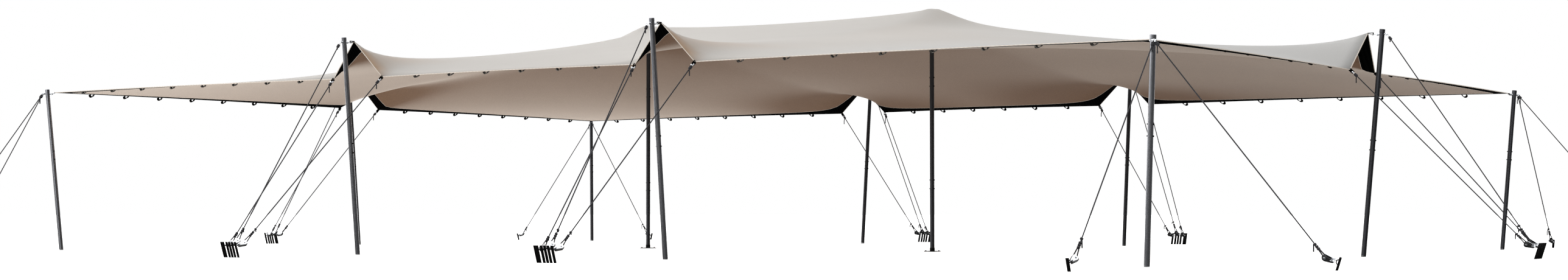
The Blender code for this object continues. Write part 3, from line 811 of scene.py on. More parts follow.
def make_bolt(name, span):
    """A bolt along X through something span wide, with a head and a nut."""
    half = span / 2
    ends = [lathe(f"{name}_shank", [(-half - BOLT_OUT, BOLT_RADIUS), (half + BOLT_OUT, BOLT_RADIUS)], 10)]
    for side in (-1, 1):
        washer = lathe(f"{name}_washer", WASHER, 16)
        washer.data.transform(moved(z=side * half - WASHER[1][0] / 2))
        head = lathe(f"{name}_head", BOLT_HEAD, 6)
        turn = Matrix.Identity(4) if side > 0 else Matrix.Rotation(math.pi, 4, "X")
        head.data.transform(moved(z=side * (half + 0.0008)) @ turn)
        ends += [washer, head]
    bolt = joined(name, ends)
    bolt.data.transform(SIDEWAYS)
    return dress(bolt, zinc, 30.0)


tube_bolt = dress(make_bolt("tube_bolt", 2 * TUBE_RADIUS), black_steel, 30.0)
workbench.append(tube_bolt)
print("bolt:", [round(v * 1000) for v in tube_bolt.dimensions], "mm")

# %% Model a bow shackle
SHACKLE_BAR = 0.0045
SHACKLE_HALF = 0.0145
SHACKLE_LEG = 0.022
LEG_IN_EAR = 0.004
EAR = ((-0.0045, 0.008), (-0.0035, 0.009), (0.0035, 0.009), (0.0045, 0.008))
PIN = ((-0.023, 0.004), (0.022, 0.004), (0.0221, 0.0075), (0.027, 0.0075), (0.0275, 0.0065))


def make_shackle():
    """Its pin lies on local X through the origin and its bow hangs towards local -Z."""
    bow = start_from(
        bpy.ops.mesh.primitive_circle_add,
        "shackle_bow",
        vertices=10,
        radius=SHACKLE_BAR,
        fill_type="NGON",
        location=(SHACKLE_HALF, 0.0, LEG_IN_EAR),
    )
    pick(bow, lambda place, normal: True)
    draw_out(0.0, 0.0, -SHACKLE_LEG - LEG_IN_EAR)
    bpy.ops.mesh.spin(steps=12, angle=math.pi, center=(0.0, 0.0, -SHACKLE_LEG), axis=(0.0, 1.0, 0.0))
    draw_out(0.0, 0.0, SHACKLE_LEG + LEG_IN_EAR)
    close_edit()
    pieces = [bow]
    for side in (-1, 1):
        ear = lathe("shackle_ear", EAR, 16)
        ear.data.transform(moved(x=side * SHACKLE_HALF) @ SIDEWAYS)
        pieces.append(ear)
    pin = lathe("shackle_pin", PIN, 12)
    pin.data.transform(SIDEWAYS)
    pieces.append(pin)
    return dress(joined("bow_shackle", pieces), zinc, 45.0)


bow_shackle = make_shackle()
workbench.append(bow_shackle)
SHACKLE_DEPTH = SHACKLE_LEG + SHACKLE_HALF
print("shackle:", [round(v * 1000) for v in bow_shackle.dimensions], "mm")

# %% [markdown]
# ## Webbing loops
# Every rope holds the cloth by a loop of webbing, and spare loops hang all along the hem for more ropes or side
# walls. A loop is a ring of flat band. It starts as an open tube. For a long loop its upper half is pulled
# away. For a spare loop, which is sewn on at both ends, the upper half is deleted. Solidify then gives the band
# its thickness.

# %% Model the loops
WEBBING_THICKNESS = 0.0035
TIE_LOOP_REACH = 0.052
PEAK_LOOP_REACH = 0.080


def make_loop(name, half_width, reach, width, closed=True, thickness=WEBBING_THICKNESS):
    """A long ring of webbing, or the lower half of one: it hangs from local Z 0 to -reach, half_width * 2 wide."""
    loop = start_from(
        bpy.ops.mesh.primitive_cylinder_add,
        name,
        vertices=24,
        radius=half_width,
        depth=width,
        end_fill_type="NOTHING",
        rotation=(math.radians(90.0), 0.0, 0.0),
    )
    if closed:
        pick(loop, lambda place, normal: place.z > 1e-4, "VERT")
        bpy.ops.transform.translate(value=(0.0, 0.0, reach - 2 * half_width))
        bpy.ops.mesh.select_all(action="SELECT")
        bpy.ops.transform.translate(value=(0.0, 0.0, half_width - reach))
    else:
        pick(loop, lambda place, normal: place.z > 1e-4)
        bpy.ops.mesh.delete(type="FACE")
        bpy.ops.mesh.select_all(action="SELECT")
        widen(1.0, 1.0, reach / half_width, 0.0)
    close_edit()
    band = loop.modifiers.new("band", "SOLIDIFY")
    band.thickness = thickness
    band.offset = 0.0
    bpy.ops.object.modifier_apply(modifier="band")
    return dress(loop, black_webbing, 50.0)


hem_loop = make_loop("hem_loop", 0.030, 0.038, 0.028, closed=False, thickness=3 * WEBBING_THICKNESS)
tie_loop = make_loop("tie_loop", 0.010, TIE_LOOP_REACH, 0.030)
peak_loop = make_loop("peak_loop", 0.006, PEAK_LOOP_REACH, 0.024)
pick(peak_loop, lambda place, normal: place.z > -0.03, "VERT")
widen(0.45, 1.0, 1.0, 0.0)
bpy.ops.object.mode_set(mode="OBJECT")
workbench += [hem_loop, tie_loop, peak_loop]
print("loops:", [round(loop.dimensions.z * 1000) for loop in (hem_loop, tie_loop, peak_loop)], "mm long")

# %% [markdown]
# ## The poles
# A pole is two tubes joined by an inner sleeve and two bolts. Its foot is a plug of bare metal and its head a
# slightly wider cap. The grooves where the parts meet are only millimetres deep, but they catch a dark line
# that gives the tube its scale. The pole is turned standing up, then laid along its lean, and bisected at the
# ground.

# %% Model the poles
CAP_RADIUS = 0.0300
CAP_HEIGHT = 0.040
FOOT_HEIGHT = 0.012
BURIED_END = 0.030
GROOVE = 0.0012
GROOVE_WIDTH = 0.003
CAP_EDGE = 0.001
CAP_CORNER = 0.003
POLE_SIDES = 36
BOLT_PITCH = 0.105
ANODISED, BARE = 0, 1


def tube_steps(length, joints):
    """The (height, radius) steps of a tube with a foot plug and a groove at each joint."""
    steps = [(-BURIED_END, TUBE_RADIUS - GROOVE), (FOOT_HEIGHT, TUBE_RADIUS - GROOVE)]
    steps += [(FOOT_HEIGHT, TUBE_RADIUS)]
    for joint in joints:
        steps += [(joint, TUBE_RADIUS), (joint, TUBE_RADIUS - GROOVE)]
        steps += [(joint + GROOVE_WIDTH, TUBE_RADIUS - GROOVE), (joint + GROOVE_WIDTH, TUBE_RADIUS)]
    return steps + [(length, TUBE_RADIUS)]


def make_edge_pole(name, length, joint):
    """A pole along Z with its head cap, standing a little deeper than the ground."""
    cap = length - CAP_HEIGHT
    steps = tube_steps(cap, [joint]) + [(cap, CAP_RADIUS - CAP_EDGE), (cap + CAP_EDGE, CAP_RADIUS)]
    steps += [(length - CAP_CORNER, CAP_RADIUS), (length, CAP_RADIUS - CAP_CORNER)]
    steps += [(length, TUBE_RADIUS - 0.006), (length - 0.004, TUBE_RADIUS - 0.008)]
    pole = dress(lathe(name, steps, POLE_SIDES), dark_anodised, 35.0)
    pole.data.materials.append(bare_aluminium)
    for face in pole.data.polygons:
        face.material_index = BARE if face.center.z < FOOT_HEIGHT + 1e-5 else ANODISED
    return pole


CORNER_POLE_HEIGHT = 2.035
SIDE_POLE_HEIGHT = 2.443
CORNER_LEAN = 0.136
SIDE_LEAN = 0.235
END_LEAN = 0.230
JOINT_HEIGHT = 1.205
corner_length = math.hypot(CORNER_POLE_HEIGHT, CORNER_LEAN * math.sqrt(2))
corner_tube = make_edge_pole("corner_tube", corner_length, JOINT_HEIGHT)
side_tube = make_edge_pole("side_tube", math.hypot(SIDE_POLE_HEIGHT, SIDE_LEAN), JOINT_HEIGHT)
end_tube = make_edge_pole("end_tube", math.hypot(SIDE_POLE_HEIGHT, END_LEAN), JOINT_HEIGHT)
workbench += [corner_tube, side_tube, end_tube]
print("pole faces:", len(side_tube.data.polygons))

# %% [markdown]
# ## Setting up the edge poles
# Each edge pole gets two joint bolts, and an eye bolt through its head with a shackle on each side. The outer
# shackle takes the guy. The inner one holds the doubled webbing at the tip of the fabric. The shackles lie
# along the pull. The poles at the ends and along the back look darker in the photograph than the front row, so
# they take a darker copy of the anodised aluminium: painted shade, not a finish of their own.

# %% Set up the edge poles
CORNER_FOOT = (7.50, 5.26)
SIDE_FOOT_Y = 5.30
END_FOOT_X = 7.57
FRONT_ROW_Y = -1.0
SHACKLE_BELOW_TOP = 0.055
CORNER_LINK = (1.0, 1.0, 1.0)
SIDE_LINK = (0.75, 0.75, 1.40)
EYE_CENTRE = 0.046
EYE_RADIUS = 0.010
EYE_BAR = 0.0042
COLLAR = ((0.0, 0.010), (0.0035, 0.010), (0.0045, 0.0085))
KNOT_SLACK = 0.004
GRIP_SLACK = 0.006
CORNER_STAKES = {"end": (9.31, 5.48), "side": (7.65, 7.04)}
SIDE_CLUSTER_Y = 7.14
END_CLUSTER_X = 9.41
CORNER_STAKE_HEIGHT = 0.110
CLUSTER_STAKE_HEIGHT = 0.165
STAKE_LEAN = math.radians(18.0)
RING_FROM_TOP = 0.045


def make_eye_bolt():
    """A bolt along X through the pole head with a round eye at each end."""
    half = EYE_CENTRE - EYE_RADIUS
    eyes = [lathe("eye_shank", [(-half, BOLT_RADIUS), (half, BOLT_RADIUS)], 10)]
    eyes[0].data.transform(SIDEWAYS)
    for side in (-1, 1):
        eye = start_from(
            bpy.ops.mesh.primitive_torus_add,
            "eye",
            major_segments=20,
            minor_segments=8,
            major_radius=EYE_RADIUS,
            minor_radius=EYE_BAR,
            location=(side * EYE_CENTRE, 0.0, 0.0),
            rotation=(math.radians(90.0), 0.0, 0.0),
        )
        collar = lathe("eye_collar", COLLAR, 14)
        turn = SIDEWAYS if side > 0 else Matrix.Rotation(math.radians(-90.0), 4, "Y")
        collar.data.transform(moved(x=side * (CAP_RADIUS - 0.003)) @ turn)
        eyes += [eye, collar]
    return dress(joined("eye_bolt", eyes), zinc, 40.0)


eye_bolt = make_eye_bolt()
workbench.append(eye_bolt)


def stake_ring(foot, outward, height):
    """The point on a leaning stake where its ring is, and the stake's axis."""
    axis = (UP + math.tan(STAKE_LEAN) * outward).normalized()
    return foot + axis * (height / axis.z - RING_FROM_TOP), axis


def set_up_pole(name, tube, foot, head, hem_point, rings, link):
    """One edge pole with its fittings. Returns where each guy begins, and last the grip on the fabric's tip."""
    axis = (head - foot).normalized()
    bolt = head - SHACKLE_BELOW_TOP * axis
    outward = Vector((bolt.x - hem_point.x, bolt.y - hem_point.y, 0.0)).normalized()
    pole = copy_at(tube, f"{name}_tube", frame_of(foot, axis, RIGHT))
    cut_below(pole)
    for face in pole.data.polygons:
        if face.normal.z < -0.99:
            face.material_index = BARE
    # Poles at the ends and along the back take the darker copy of the anodised aluminium, as painted shade.
    if foot.y > FRONT_ROW_Y:
        pole.data.materials[ANODISED] = shade_painted_anodised
    hand_over(pole, "pole_aluminium", name)

    fittings = [copy_at(eye_bolt, f"{name}_eye_bolt", frame_of(bolt, UP, outward))]
    for shift in (-BOLT_PITCH / 2, BOLT_PITCH / 2):
        spot = foot + axis * (JOINT_HEIGHT + shift)
        fittings.append(copy_at(tube_bolt, f"{name}_bolt", frame_of(spot, axis, RIGHT)))
    grips = []
    for side, target, slack in [(1, ring, KNOT_SLACK) for ring in rings] + [(-1, hem_point, GRIP_SLACK)]:
        eye = bolt + side * (EYE_CENTRE + EYE_RADIUS) * outward
        pull = (target - eye).normalized()
        place = frame_of(eye, -pull, pull.cross(UP)) @ Matrix.Diagonal((*link, 1.0))
        fittings.append(copy_at(bow_shackle, f"{name}_shackle", place))
        grips.append(eye + (SHACKLE_DEPTH * link[2] - slack) * pull)
    hand_over(joined(f"{name}_fittings", fittings), "zinc_hardware")
    return grips


edge_knots = {}
peak_grips = []
for place, sx, sy in (("front_left", -1, -1), ("front_right", 1, -1), ("back_right", 1, 1), ("back_left", -1, 1)):
    foot = Vector((sx * CORNER_FOOT[0], sy * CORNER_FOOT[1], 0.0))
    head = foot + Vector((sx * CORNER_LEAN, sy * CORNER_LEAN, CORNER_POLE_HEIGHT))
    hem_point = Vector((sx * HEM_X, sy * HEM_Y, CORNER_HEM_HEIGHT))
    rings = []
    for way, spot in CORNER_STAKES.items():
        stake_foot = Vector((sx * spot[0], sy * spot[1], 0.0))
        outward = (stake_foot - head) * Vector((1.0, 1.0, 0.0))
        rings.append(stake_ring(stake_foot, outward.normalized(), CORNER_STAKE_HEIGHT)[0])
    *knots, grip = set_up_pole(f"corner_pole_{place}", corner_tube, foot, head, hem_point, rings, CORNER_LINK)
    peak_grips.append((grip, hem_point))
    for way, ring, knot in zip(CORNER_STAKES, rings, knots):
        edge_knots[f"corner_guy_{place}_{way}"] = (ring, knot)

SIDES = (
    ("front_left", -BACK, -SIDE_POLE_X),
    ("front_right", -BACK, SIDE_POLE_X),
    ("right", RIGHT, 0.0),
    ("back_right", BACK, SIDE_POLE_X),
    ("back_left", BACK, -SIDE_POLE_X),
    ("left", -RIGHT, 0.0),
)
BLOCK_PITCH = 0.084
tie_points = []
clusters = {}
for place, outward, shift in SIDES:
    is_end = abs(outward.x) > 0.5
    along = BACK if is_end else RIGHT
    foot = (END_FOOT_X if is_end else SIDE_FOOT_Y) * outward + shift * along
    head = foot + (END_LEAN if is_end else SIDE_LEAN) * outward + SIDE_POLE_HEIGHT * UP
    hem = (HEM_X if is_end else HEM_Y) * outward + shift * along
    cluster_foot = (END_CLUSTER_X if is_end else SIDE_CLUSTER_Y) * outward + shift * along
    middle_ring, stake_axis = stake_ring(cluster_foot, outward, CLUSTER_STAKE_HEIGHT)
    peak = hem + PEAK_PULL * outward + PEAK_HEM_HEIGHT * UP
    tube = end_tube if is_end else side_tube
    knot, grip = set_up_pole(f"side_pole_{place}", tube, foot, head, peak, [middle_ring], SIDE_LINK)
    peak_grips.append((grip, peak))
    edge_knots[f"pole_guy_{place}"] = (middle_ring, knot)
    row_sign = 1.0 if UP.cross(outward).dot(along) > 0 else -1.0
    clusters[place] = (outward, row_sign * along, middle_ring, stake_axis)
    for way in (-1, 1):
        corner = hem + way * TIE_SPREAD * along + TIE_HEM_HEIGHT * UP
        ring = middle_ring + way * BLOCK_PITCH * along
        number = 1 if way * row_sign < 0 else 2
        tie_points.append((f"hem_guy_{place}_{number}", corner, ring))
print("edge poles:", len(peak_grips), "guys at poles:", len(edge_knots), "at the hem:", len(tie_points))

# %% [markdown]
# ## The centre poles
# The two centre poles are three tubes each, on a square steel foot plate, with a broad rubber dome on top so
# that the fabric is stretched over a soft, round shape and not over a rim. The dome's height is found by
# looking straight up at the sheet's underside from a ring of points and stopping at the nearest hit.

# %% Set up the centre poles
DOME = ((-0.048, TUBE_RADIUS), (-0.030, 0.060), (-0.018, 0.075), (-0.0045, 0.0375), (0.0, 0.012))
DOME_GAP = 0.0005
RAY_START = 1.5
SOCKET = ((0.004, 0.034), (0.008, 0.034), (0.010, 0.030), (0.045, 0.030), (0.046, 0.029))
PLATE_SIZE = 0.150
PEG_OUT = 0.058
PEG_DOWN = 0.0165
PLATE_THICKNESS = 0.008
CENTRE_JOINTS = (0.8175, 2.065)


def room_under_sheet(x):
    """How high the dome's top may be for every ring of it to stay under the sheet."""
    sheet_tree = BVHTree.FromPolygons(
        [v.co for v in stretch_sheet.data.vertices], [tuple(f.vertices) for f in stretch_sheet.data.polygons]
    )
    rooms = []
    for drop, radius in DOME:
        for step in range(24):
            angle = math.tau * step / 24
            start = Vector((x + radius * math.cos(angle), radius * math.sin(angle), RAY_START))
            hit = sheet_tree.ray_cast(start, UP)
            rooms.append(hit[0].z - drop)
    return min(rooms) - DOME_GAP


for side, name in ((-1, "centre_pole_left"), (1, "centre_pole_right")):
    x = side * CENTRE_POLE_X
    top = room_under_sheet(x)
    steps = [(PLATE_THICKNESS, TUBE_RADIUS)] + tube_steps(top + DOME[0][0], CENTRE_JOINTS)[3:]
    # The centre poles take the darker copy of the anodised aluminium, as painted shade under the roof.
    tube = dress(lathe(f"{name}_tube", steps, POLE_SIDES), shade_painted_anodised, 35.0)
    dome = dress(
        lathe(f"{name}_dome", [(top + drop, radius) for drop, radius in DOME], POLE_SIDES), black_nylon, 50.0
    )
    plate = start_from(
        bpy.ops.mesh.primitive_cube_add,
        f"{name}_plate",
        size=1.0,
        location=(0.0, 0.0, PLATE_THICKNESS / 2),
        scale=(PLATE_SIZE, PLATE_SIZE, PLATE_THICKNESS),
    )
    pick(plate, lambda place, normal: normal.z > 0.9)
    bpy.ops.mesh.bevel(offset=0.002, segments=2)
    bpy.ops.mesh.select_all(action="DESELECT")
    close_edit()
    dress(plate, black_steel, 30.0)
    socket = dress(lathe(f"{name}_socket", SOCKET, POLE_SIDES), black_steel, 35.0)
    bolts = []
    for joint in CENTRE_JOINTS:
        for shift_up in (-BOLT_PITCH / 2, BOLT_PITCH / 2):
            bolts.append(copy_at(tube_bolt, f"{name}_bolt", moved(z=joint + shift_up)))
    for sx in (-1, 1):
        for sy in (-1, 1):
            spot = moved(x=sx * PEG_OUT, y=sy * PEG_OUT, z=-PEG_DOWN)
            peg = copy_at(tube_bolt, f"{name}_peg", spot @ SIDEWAYS)
            cut_below(peg, PLATE_THICKNESS - 0.001)
            bolts.append(peg)
    pieces = (tube, dome, joined(f"{name}_foot", [plate, socket]), joined(f"{name}_bolts", bolts))
    for piece in pieces:
        piece.data.transform(moved(x=x))
    hand_over(tube, "pole_aluminium", name)
    hand_over(dome, "pole_aluminium")
    hand_over(pieces[2], "stake_steel")
    hand_over(pieces[3], "zinc_hardware")
    print(name, "top at", round(top, 4))

# %% [markdown]
# ## Stakes
# A stretch tent's stake is a steel T bar with a half ring welded on the side of the pull. It is driven in with
# its head leaning away from the tent, so that the rope can't ride up it. One stake holds a corner rope. At the
# side poles, where three ropes meet, six stakes stand in a close row, and each pair shares the half ring that
# spans its gap.

# %% Model a stake and its half ring
STAKE_WIDTH = 0.030
STAKE_PLATE = 0.006
STAKE_RIB = 0.010
RING_BAR = 0.0045
RING_RADIUS = 0.021


def make_stake(name):
    """A T bar along local Z with the ring's height at Z 0. Its flat face looks along local Y, towards the tent."""
    bar = start_from(
        bpy.ops.mesh.primitive_cube_add,
        name,
        size=1.0,
        location=(0.0, 0.003, -0.1 + RING_FROM_TOP / 2),
        scale=(STAKE_WIDTH, STAKE_PLATE, 0.2 + RING_FROM_TOP),
    )
    for side in (-1, 1):
        edge = side * STAKE_RIB / 4
        pick(bar, lambda place, normal: True)
        bpy.ops.mesh.bisect(plane_co=(edge, 0, 0), plane_no=(1, 0, 0))
        bpy.ops.object.mode_set(mode="OBJECT")
    pick(bar, lambda place, normal: normal.y < -0.9 and abs(place.x) < STAKE_RIB / 4)
    draw_out(0.0, -STAKE_RIB, 0.0)
    bpy.ops.object.mode_set(mode="OBJECT")
    pick(bar, lambda place, normal: normal.z > 0.9)
    bpy.ops.mesh.bevel(offset=0.0012, segments=2)
    close_edit()
    return dress(bar, black_steel, 30.0)


def make_half_ring(name, radius):
    """Half a ring of bar in the local XY plane, open towards local -Y."""
    ring = start_from(
        bpy.ops.mesh.primitive_circle_add,
        name,
        vertices=8,
        radius=RING_BAR,
        fill_type="NGON",
        location=(radius, 0.0, 0.0),
        rotation=(math.radians(90.0), 0.0, 0.0),
    )
    pick(ring, lambda place, normal: True)
    bpy.ops.mesh.spin(steps=12, angle=-math.pi, center=(0.0, 0.0, 0.0), axis=(0.0, 0.0, 1.0))
    bpy.ops.mesh.select_all(action="SELECT")
    close_edit()
    return dress(ring, black_steel, 50.0)


stake_bar = make_stake("stake_bar")
half_ring = make_half_ring("half_ring", RING_RADIUS)
if max(v.co.y for v in half_ring.data.vertices) < RING_RADIUS / 2:
    half_ring.data.transform(Matrix.Diagonal((-1.0, -1.0, 1.0, 1.0)))
workbench += [stake_bar, half_ring]
print("stake faces:", len(stake_bar.data.polygons), "ring faces:", len(half_ring.data.polygons))

# %% [markdown]
# ## Pulley blocks
# Between stake and rope is a pulley block: a moulded nylon body with a sheave on an axle, and one egg-shaped
# cheek of zinc-plated steel. Its other cheek is black nylon, as painted shade on the block's shaded side. The
# rope runs round the sheave and back up, which doubles the pull when it is hauled tight. The block hangs a
# little below the line of the rope and rolls over, so its bright cheek looks up at the sky.

# %% Model a pulley block
BLOCK_START = 0.058
BLOCK_CANT = math.radians(-30.0)
BLOCK_ROLL = math.radians(-35.0)
SHEAVE_AT = 0.128
SHEAVE_RADIUS = 0.021
GROOVE_RADIUS = 0.016
SHEAVE_HALF = ((0.002, GROOVE_RADIUS), (0.0065, SHEAVE_RADIUS), (0.0085, SHEAVE_RADIUS))
CHEEK_RADIUS = 0.026
CHEEK_THICKNESS = 0.003
CHEEK_STRETCH = 0.056
CHEEK_OUT = 0.0125
BLOCK_WIDTH = 0.029
ROPE_RADIUS = 0.0060


def make_cheek(name):
    """An egg-shaped plate in the local YZ plane, with its narrow end towards the stake."""
    cheek = start_from(
        bpy.ops.mesh.primitive_cylinder_add,
        name,
        vertices=32,
        radius=CHEEK_RADIUS,
        depth=CHEEK_THICKNESS,
        location=(0.0, 0.0, SHEAVE_AT),
        rotation=(0.0, math.radians(90.0), 0.0),
    )
    pick(cheek, lambda place, normal: place.z < SHEAVE_AT - 0.004, "VERT")
    bpy.ops.transform.translate(value=(0.0, 0.0, -CHEEK_STRETCH))
    bpy.ops.mesh.select_all(action="DESELECT")
    bpy.ops.object.mode_set(mode="OBJECT")
    pick(cheek, lambda place, normal: place.z < SHEAVE_AT - 0.03, "VERT")
    widen(1.0, 0.55, 1.0, BLOCK_START)
    bpy.ops.object.mode_set(mode="OBJECT")
    pick(cheek, lambda place, normal: abs(normal.x) > 0.9)
    bpy.ops.mesh.bevel(offset=0.0008, segments=1)
    close_edit()
    return cheek


def make_block():
    """The metal of a pulley block and its stake shackle, along local Z from the stake's ring at 0."""
    cheek = make_cheek("zinc_cheek")
    cheek.data.transform(moved(x=CHEEK_OUT))
    axle = make_bolt("axle", BLOCK_WIDTH)
    axle.data.transform(moved(z=SHEAVE_AT) @ Matrix.Diagonal((1.0, 1.35, 1.35, 1.0)))
    spacer = make_bolt("spacer", BLOCK_WIDTH)
    spacer.data.transform(moved(z=BLOCK_START + 0.010))
    link_place = moved(z=SHACKLE_DEPTH + 0.018) @ Matrix.Scale(0.95, 4)
    link = copy_at(bow_shackle, "link", link_place)
    return dress(joined("block_metal", [cheek, axle, spacer, link]), zinc, 35.0)


block_metal = make_block()
sheave = lathe("sheave", [(-out, radius) for out, radius in reversed(SHEAVE_HALF)] + list(SHEAVE_HALF), 28)
sheave.data.transform(moved(z=SHEAVE_AT) @ SIDEWAYS)
keel = make_cheek("keel")
keel.data.transform(moved(y=0.016) @ Matrix.Diagonal((8.0, 0.8, 1.0, 1.0)))
cut_below(keel, 0.013, way=(0, 1, 0))
# The block's other cheek is black nylon, painted shade on its shaded side.
shade_side_cheek = make_cheek("shaded_side_cheek")
shade_side_cheek.data.transform(moved(x=-CHEEK_OUT))
sheave = dress(joined("sheave", [sheave, keel, shade_side_cheek]), black_nylon, 30.0)
workbench += [block_metal, sheave]
print("block:", [round(v * 1000) for v in block_metal.dimensions], "mm")

# %% [markdown]
# ## Driving the stakes
# Each stake stands in the ground at its CAD place with the same lean, bisected at the ground. Its block is laid
# from the ring along the rope's pull.

# %% Set up stakes and blocks
def planted(master, name, place):
    """A copy cut off at the ground."""
    piece = copy_at(master, name, place)
    cut_below(piece)
    return piece


def block_frame(ring, knot):
    """Local Z from the ring, lower than the rope's pull because the block hangs over, and rolled to one side."""
    pull = knot - ring
    canted = frame_of(ring, pull, pull.cross(UP)) @ Matrix.Rotation(BLOCK_CANT, 4, "X")
    return canted @ Matrix.Rotation(BLOCK_ROLL, 4, "Z")


STAKE_ROW = (-2.5, -1.85, -0.6, 0.4, 1.4, 2.55)
rope_starts = {}
sheaves = []


def laid_block(node, guy, ring, target):
    """Lays a block from its stake's ring along the rope's pull, and notes where the rope starts."""
    place = block_frame(ring, target)
    block = copy_at(block_metal, f"{node}_block", place)
    sheaves.append(copy_at(sheave, f"{node}_sheave", place))
    rope_starts[guy] = place
    return block


for guy, (ring, knot) in sorted(edge_knots.items()):
    if not guy.startswith("corner_guy_"):
        continue
    node = guy.replace("corner_guy_", "corner_stake_")
    outward = ((ring - knot) * Vector((1.0, 1.0, 0.0))).normalized()
    axis = stake_ring(ring, outward, CORNER_STAKE_HEIGHT)[1]
    stake_place = frame_of(ring, axis, axis.cross(outward))
    bar = planted(stake_bar, f"{node}_bar", stake_place)
    face = stake_place @ moved(y=0.005) @ SIDEWAYS
    steel = joined(f"{node}_steel", [bar, copy_at(half_ring, f"{node}_ring", face)])
    hand_over(steel, "stake_steel", node)
    hand_over(laid_block(node, guy, ring, knot), "zinc_hardware")

guy_ends = edge_knots | {name: (ring, corner) for name, corner, ring in tie_points}
for place_name, (outward, row_way, middle_ring, axis) in clusters.items():
    node = f"stake_cluster_{place_name}"
    bars, blocks = [], []
    for shift_steps in STAKE_ROW:
        spot = middle_ring + shift_steps * BLOCK_PITCH / 2 * row_way
        bars.append(planted(stake_bar, f"{node}_bar", frame_of(spot, axis, axis.cross(outward))))
    for guy in (f"hem_guy_{place_name}_1", f"pole_guy_{place_name}", f"hem_guy_{place_name}_2"):
        ring, target = guy_ends[guy]
        ring_place = frame_of(ring, axis, axis.cross(outward)) @ moved(y=0.004)
        bars.append(copy_at(half_ring, f"{node}_ring", ring_place))
        blocks.append(laid_block(node, guy, ring, target))
    hand_over(joined(f"{node}_steel", bars), "stake_steel", node)
    hand_over(joined(f"{node}_blocks", blocks), "zinc_hardware")
hand_over(joined("block_sheaves", sheaves), "stake_steel")
print("blocks:", len(rope_starts))

# %% [markdown]
# ## Webbing at the ties and peaks
# At each tie the hem's corner carries a doubled loop with a shackle in it. At each peak the webbing from both
# flanks meets in two narrow loops that reach out to the pole. In between, spare loops hang from the band under
# the hem. They are sewn on at both ends and slouch to one side. How far they hang on each side of the tent
# follows the photograph.

# %% Fit the loops
LOOPS_LONG = (8, 6, 8)
LOOPS_END = (8, 8)
LOOP_HANG = {1: 0.28, 0: 0.85, -1: 0.62}
LOOP_TILT = 0.35
LOOP_INSET = 0.016
SLOUCH = 0.6
SLOUCH_CHANGE = 0.2
TIE_TWIST = 0.3
SEWN_IN = 0.006
PEAK_SPREAD = (-0.14, 0.10)


def hem_place(outward, across, along_value):
    """A point on the hem's lower edge, from its side and its distance along that side."""
    x, y = (across * outward.x, along_value) if abs(outward.x) > 0.5 else (along_value, across * outward.y)
    return Vector((x, y, height_at(x, y) - FABRIC_THICKNESS / 2))


hem_knots = {}
tie_webbing, tie_shackles = [], []
for name, corner, ring in tie_points:
    pull = (ring - corner).normalized()
    side_way = pull.cross(UP).normalized()
    start = corner - SEWN_IN * pull
    place = frame_of(start, -pull, side_way) @ Matrix.Rotation(TIE_TWIST, 4, "Z")
    tie_webbing.append(copy_at(tie_loop, "tie_webbing", place))
    grip = start + (TIE_LOOP_REACH - GRIP_SLACK) * pull
    tie_shackles.append(copy_at(bow_shackle, "tie_shackle", frame_of(grip, -pull, side_way)))
    hem_knots[name] = grip + (SHACKLE_DEPTH - KNOT_SLACK) * pull
for grip, peak in peak_grips:
    pull = (grip - peak).normalized()
    reach = (grip - peak).length + SEWN_IN
    for turn in PEAK_SPREAD:
        place = frame_of(peak, -pull, UP) @ Matrix.Rotation(turn, 4, "Y")
        place = place @ Matrix.Diagonal((1.0, 1.0, reach / PEAK_LOOP_REACH, 1.0))
        tie_webbing.append(copy_at(peak_loop, "peak_webbing", place))
hand_over(joined("tie_shackles", tie_shackles), "zinc_hardware")
hand_over(joined("pull_webbing", tie_webbing), "webbing")

spare_loops = {True: [], False: []}
for outward in (-BACK, BACK, RIGHT, -RIGHT):
    is_end = abs(outward.x) > 0.5
    knots = KNOTS_Y if is_end else KNOTS_X
    counts = LOOPS_END if is_end else LOOPS_LONG
    bays = [(low, high) for low, high in zip(knots[:-1], knots[1:]) if high - low > 2 * TIE_SPREAD]
    edge = (HEM_X if is_end else HEM_Y) - LOOP_INSET
    for (low, high), count in zip(bays, counts):
        for index in range(count):
            value = low + (high - low) * (index + 1) / (count + 1)
            spot = hem_place(outward, edge, value) - 0.003 * UP
            slouch = Matrix.Identity(4)
            amount = SLOUCH + SLOUCH_CHANGE * math.sin(7.0 * value)
            slouch[0][2] = -amount if outward.x < -0.5 else amount
            place = frame_of(spot, UP, UP.cross(outward)) @ slouch @ Matrix.Rotation(LOOP_TILT, 4, "X")
            place = place @ Matrix.Diagonal((1.0, 1.0, LOOP_HANG[(outward.x > 0.5) - (outward.y < -0.5)], 1.0))
            spare_loops[outward.y < -0.5].append(copy_at(hem_loop, "spare_loop", place))
print("spare loops:", len(spare_loops[True]), "in front,", len(spare_loops[False]), "on the other sides")
# The front loops take the grey copy of the black webbing, as painted light.
hand_over(dress(joined("hem_loops_front", spare_loops[True]), painted_light_webbing, 50.0), "webbing")
hand_over(joined("hem_loops", spare_loops[False]), "webbing")

# %% [markdown]
# ## Ropes
# A taut guy is straight from knot to sheave. It is swept along its path as a tube, with its own UV map for the
# braid: U goes round and V is the length in metres. At the top it takes one turn round the shackle's bow, and a
# few turns of its own end hold it there. At the foot it runs round the sheave and back up to a row of small
# knots. Both ends hang down as tails.

# %% Sweep a rope
ROPE_SIDES = 8


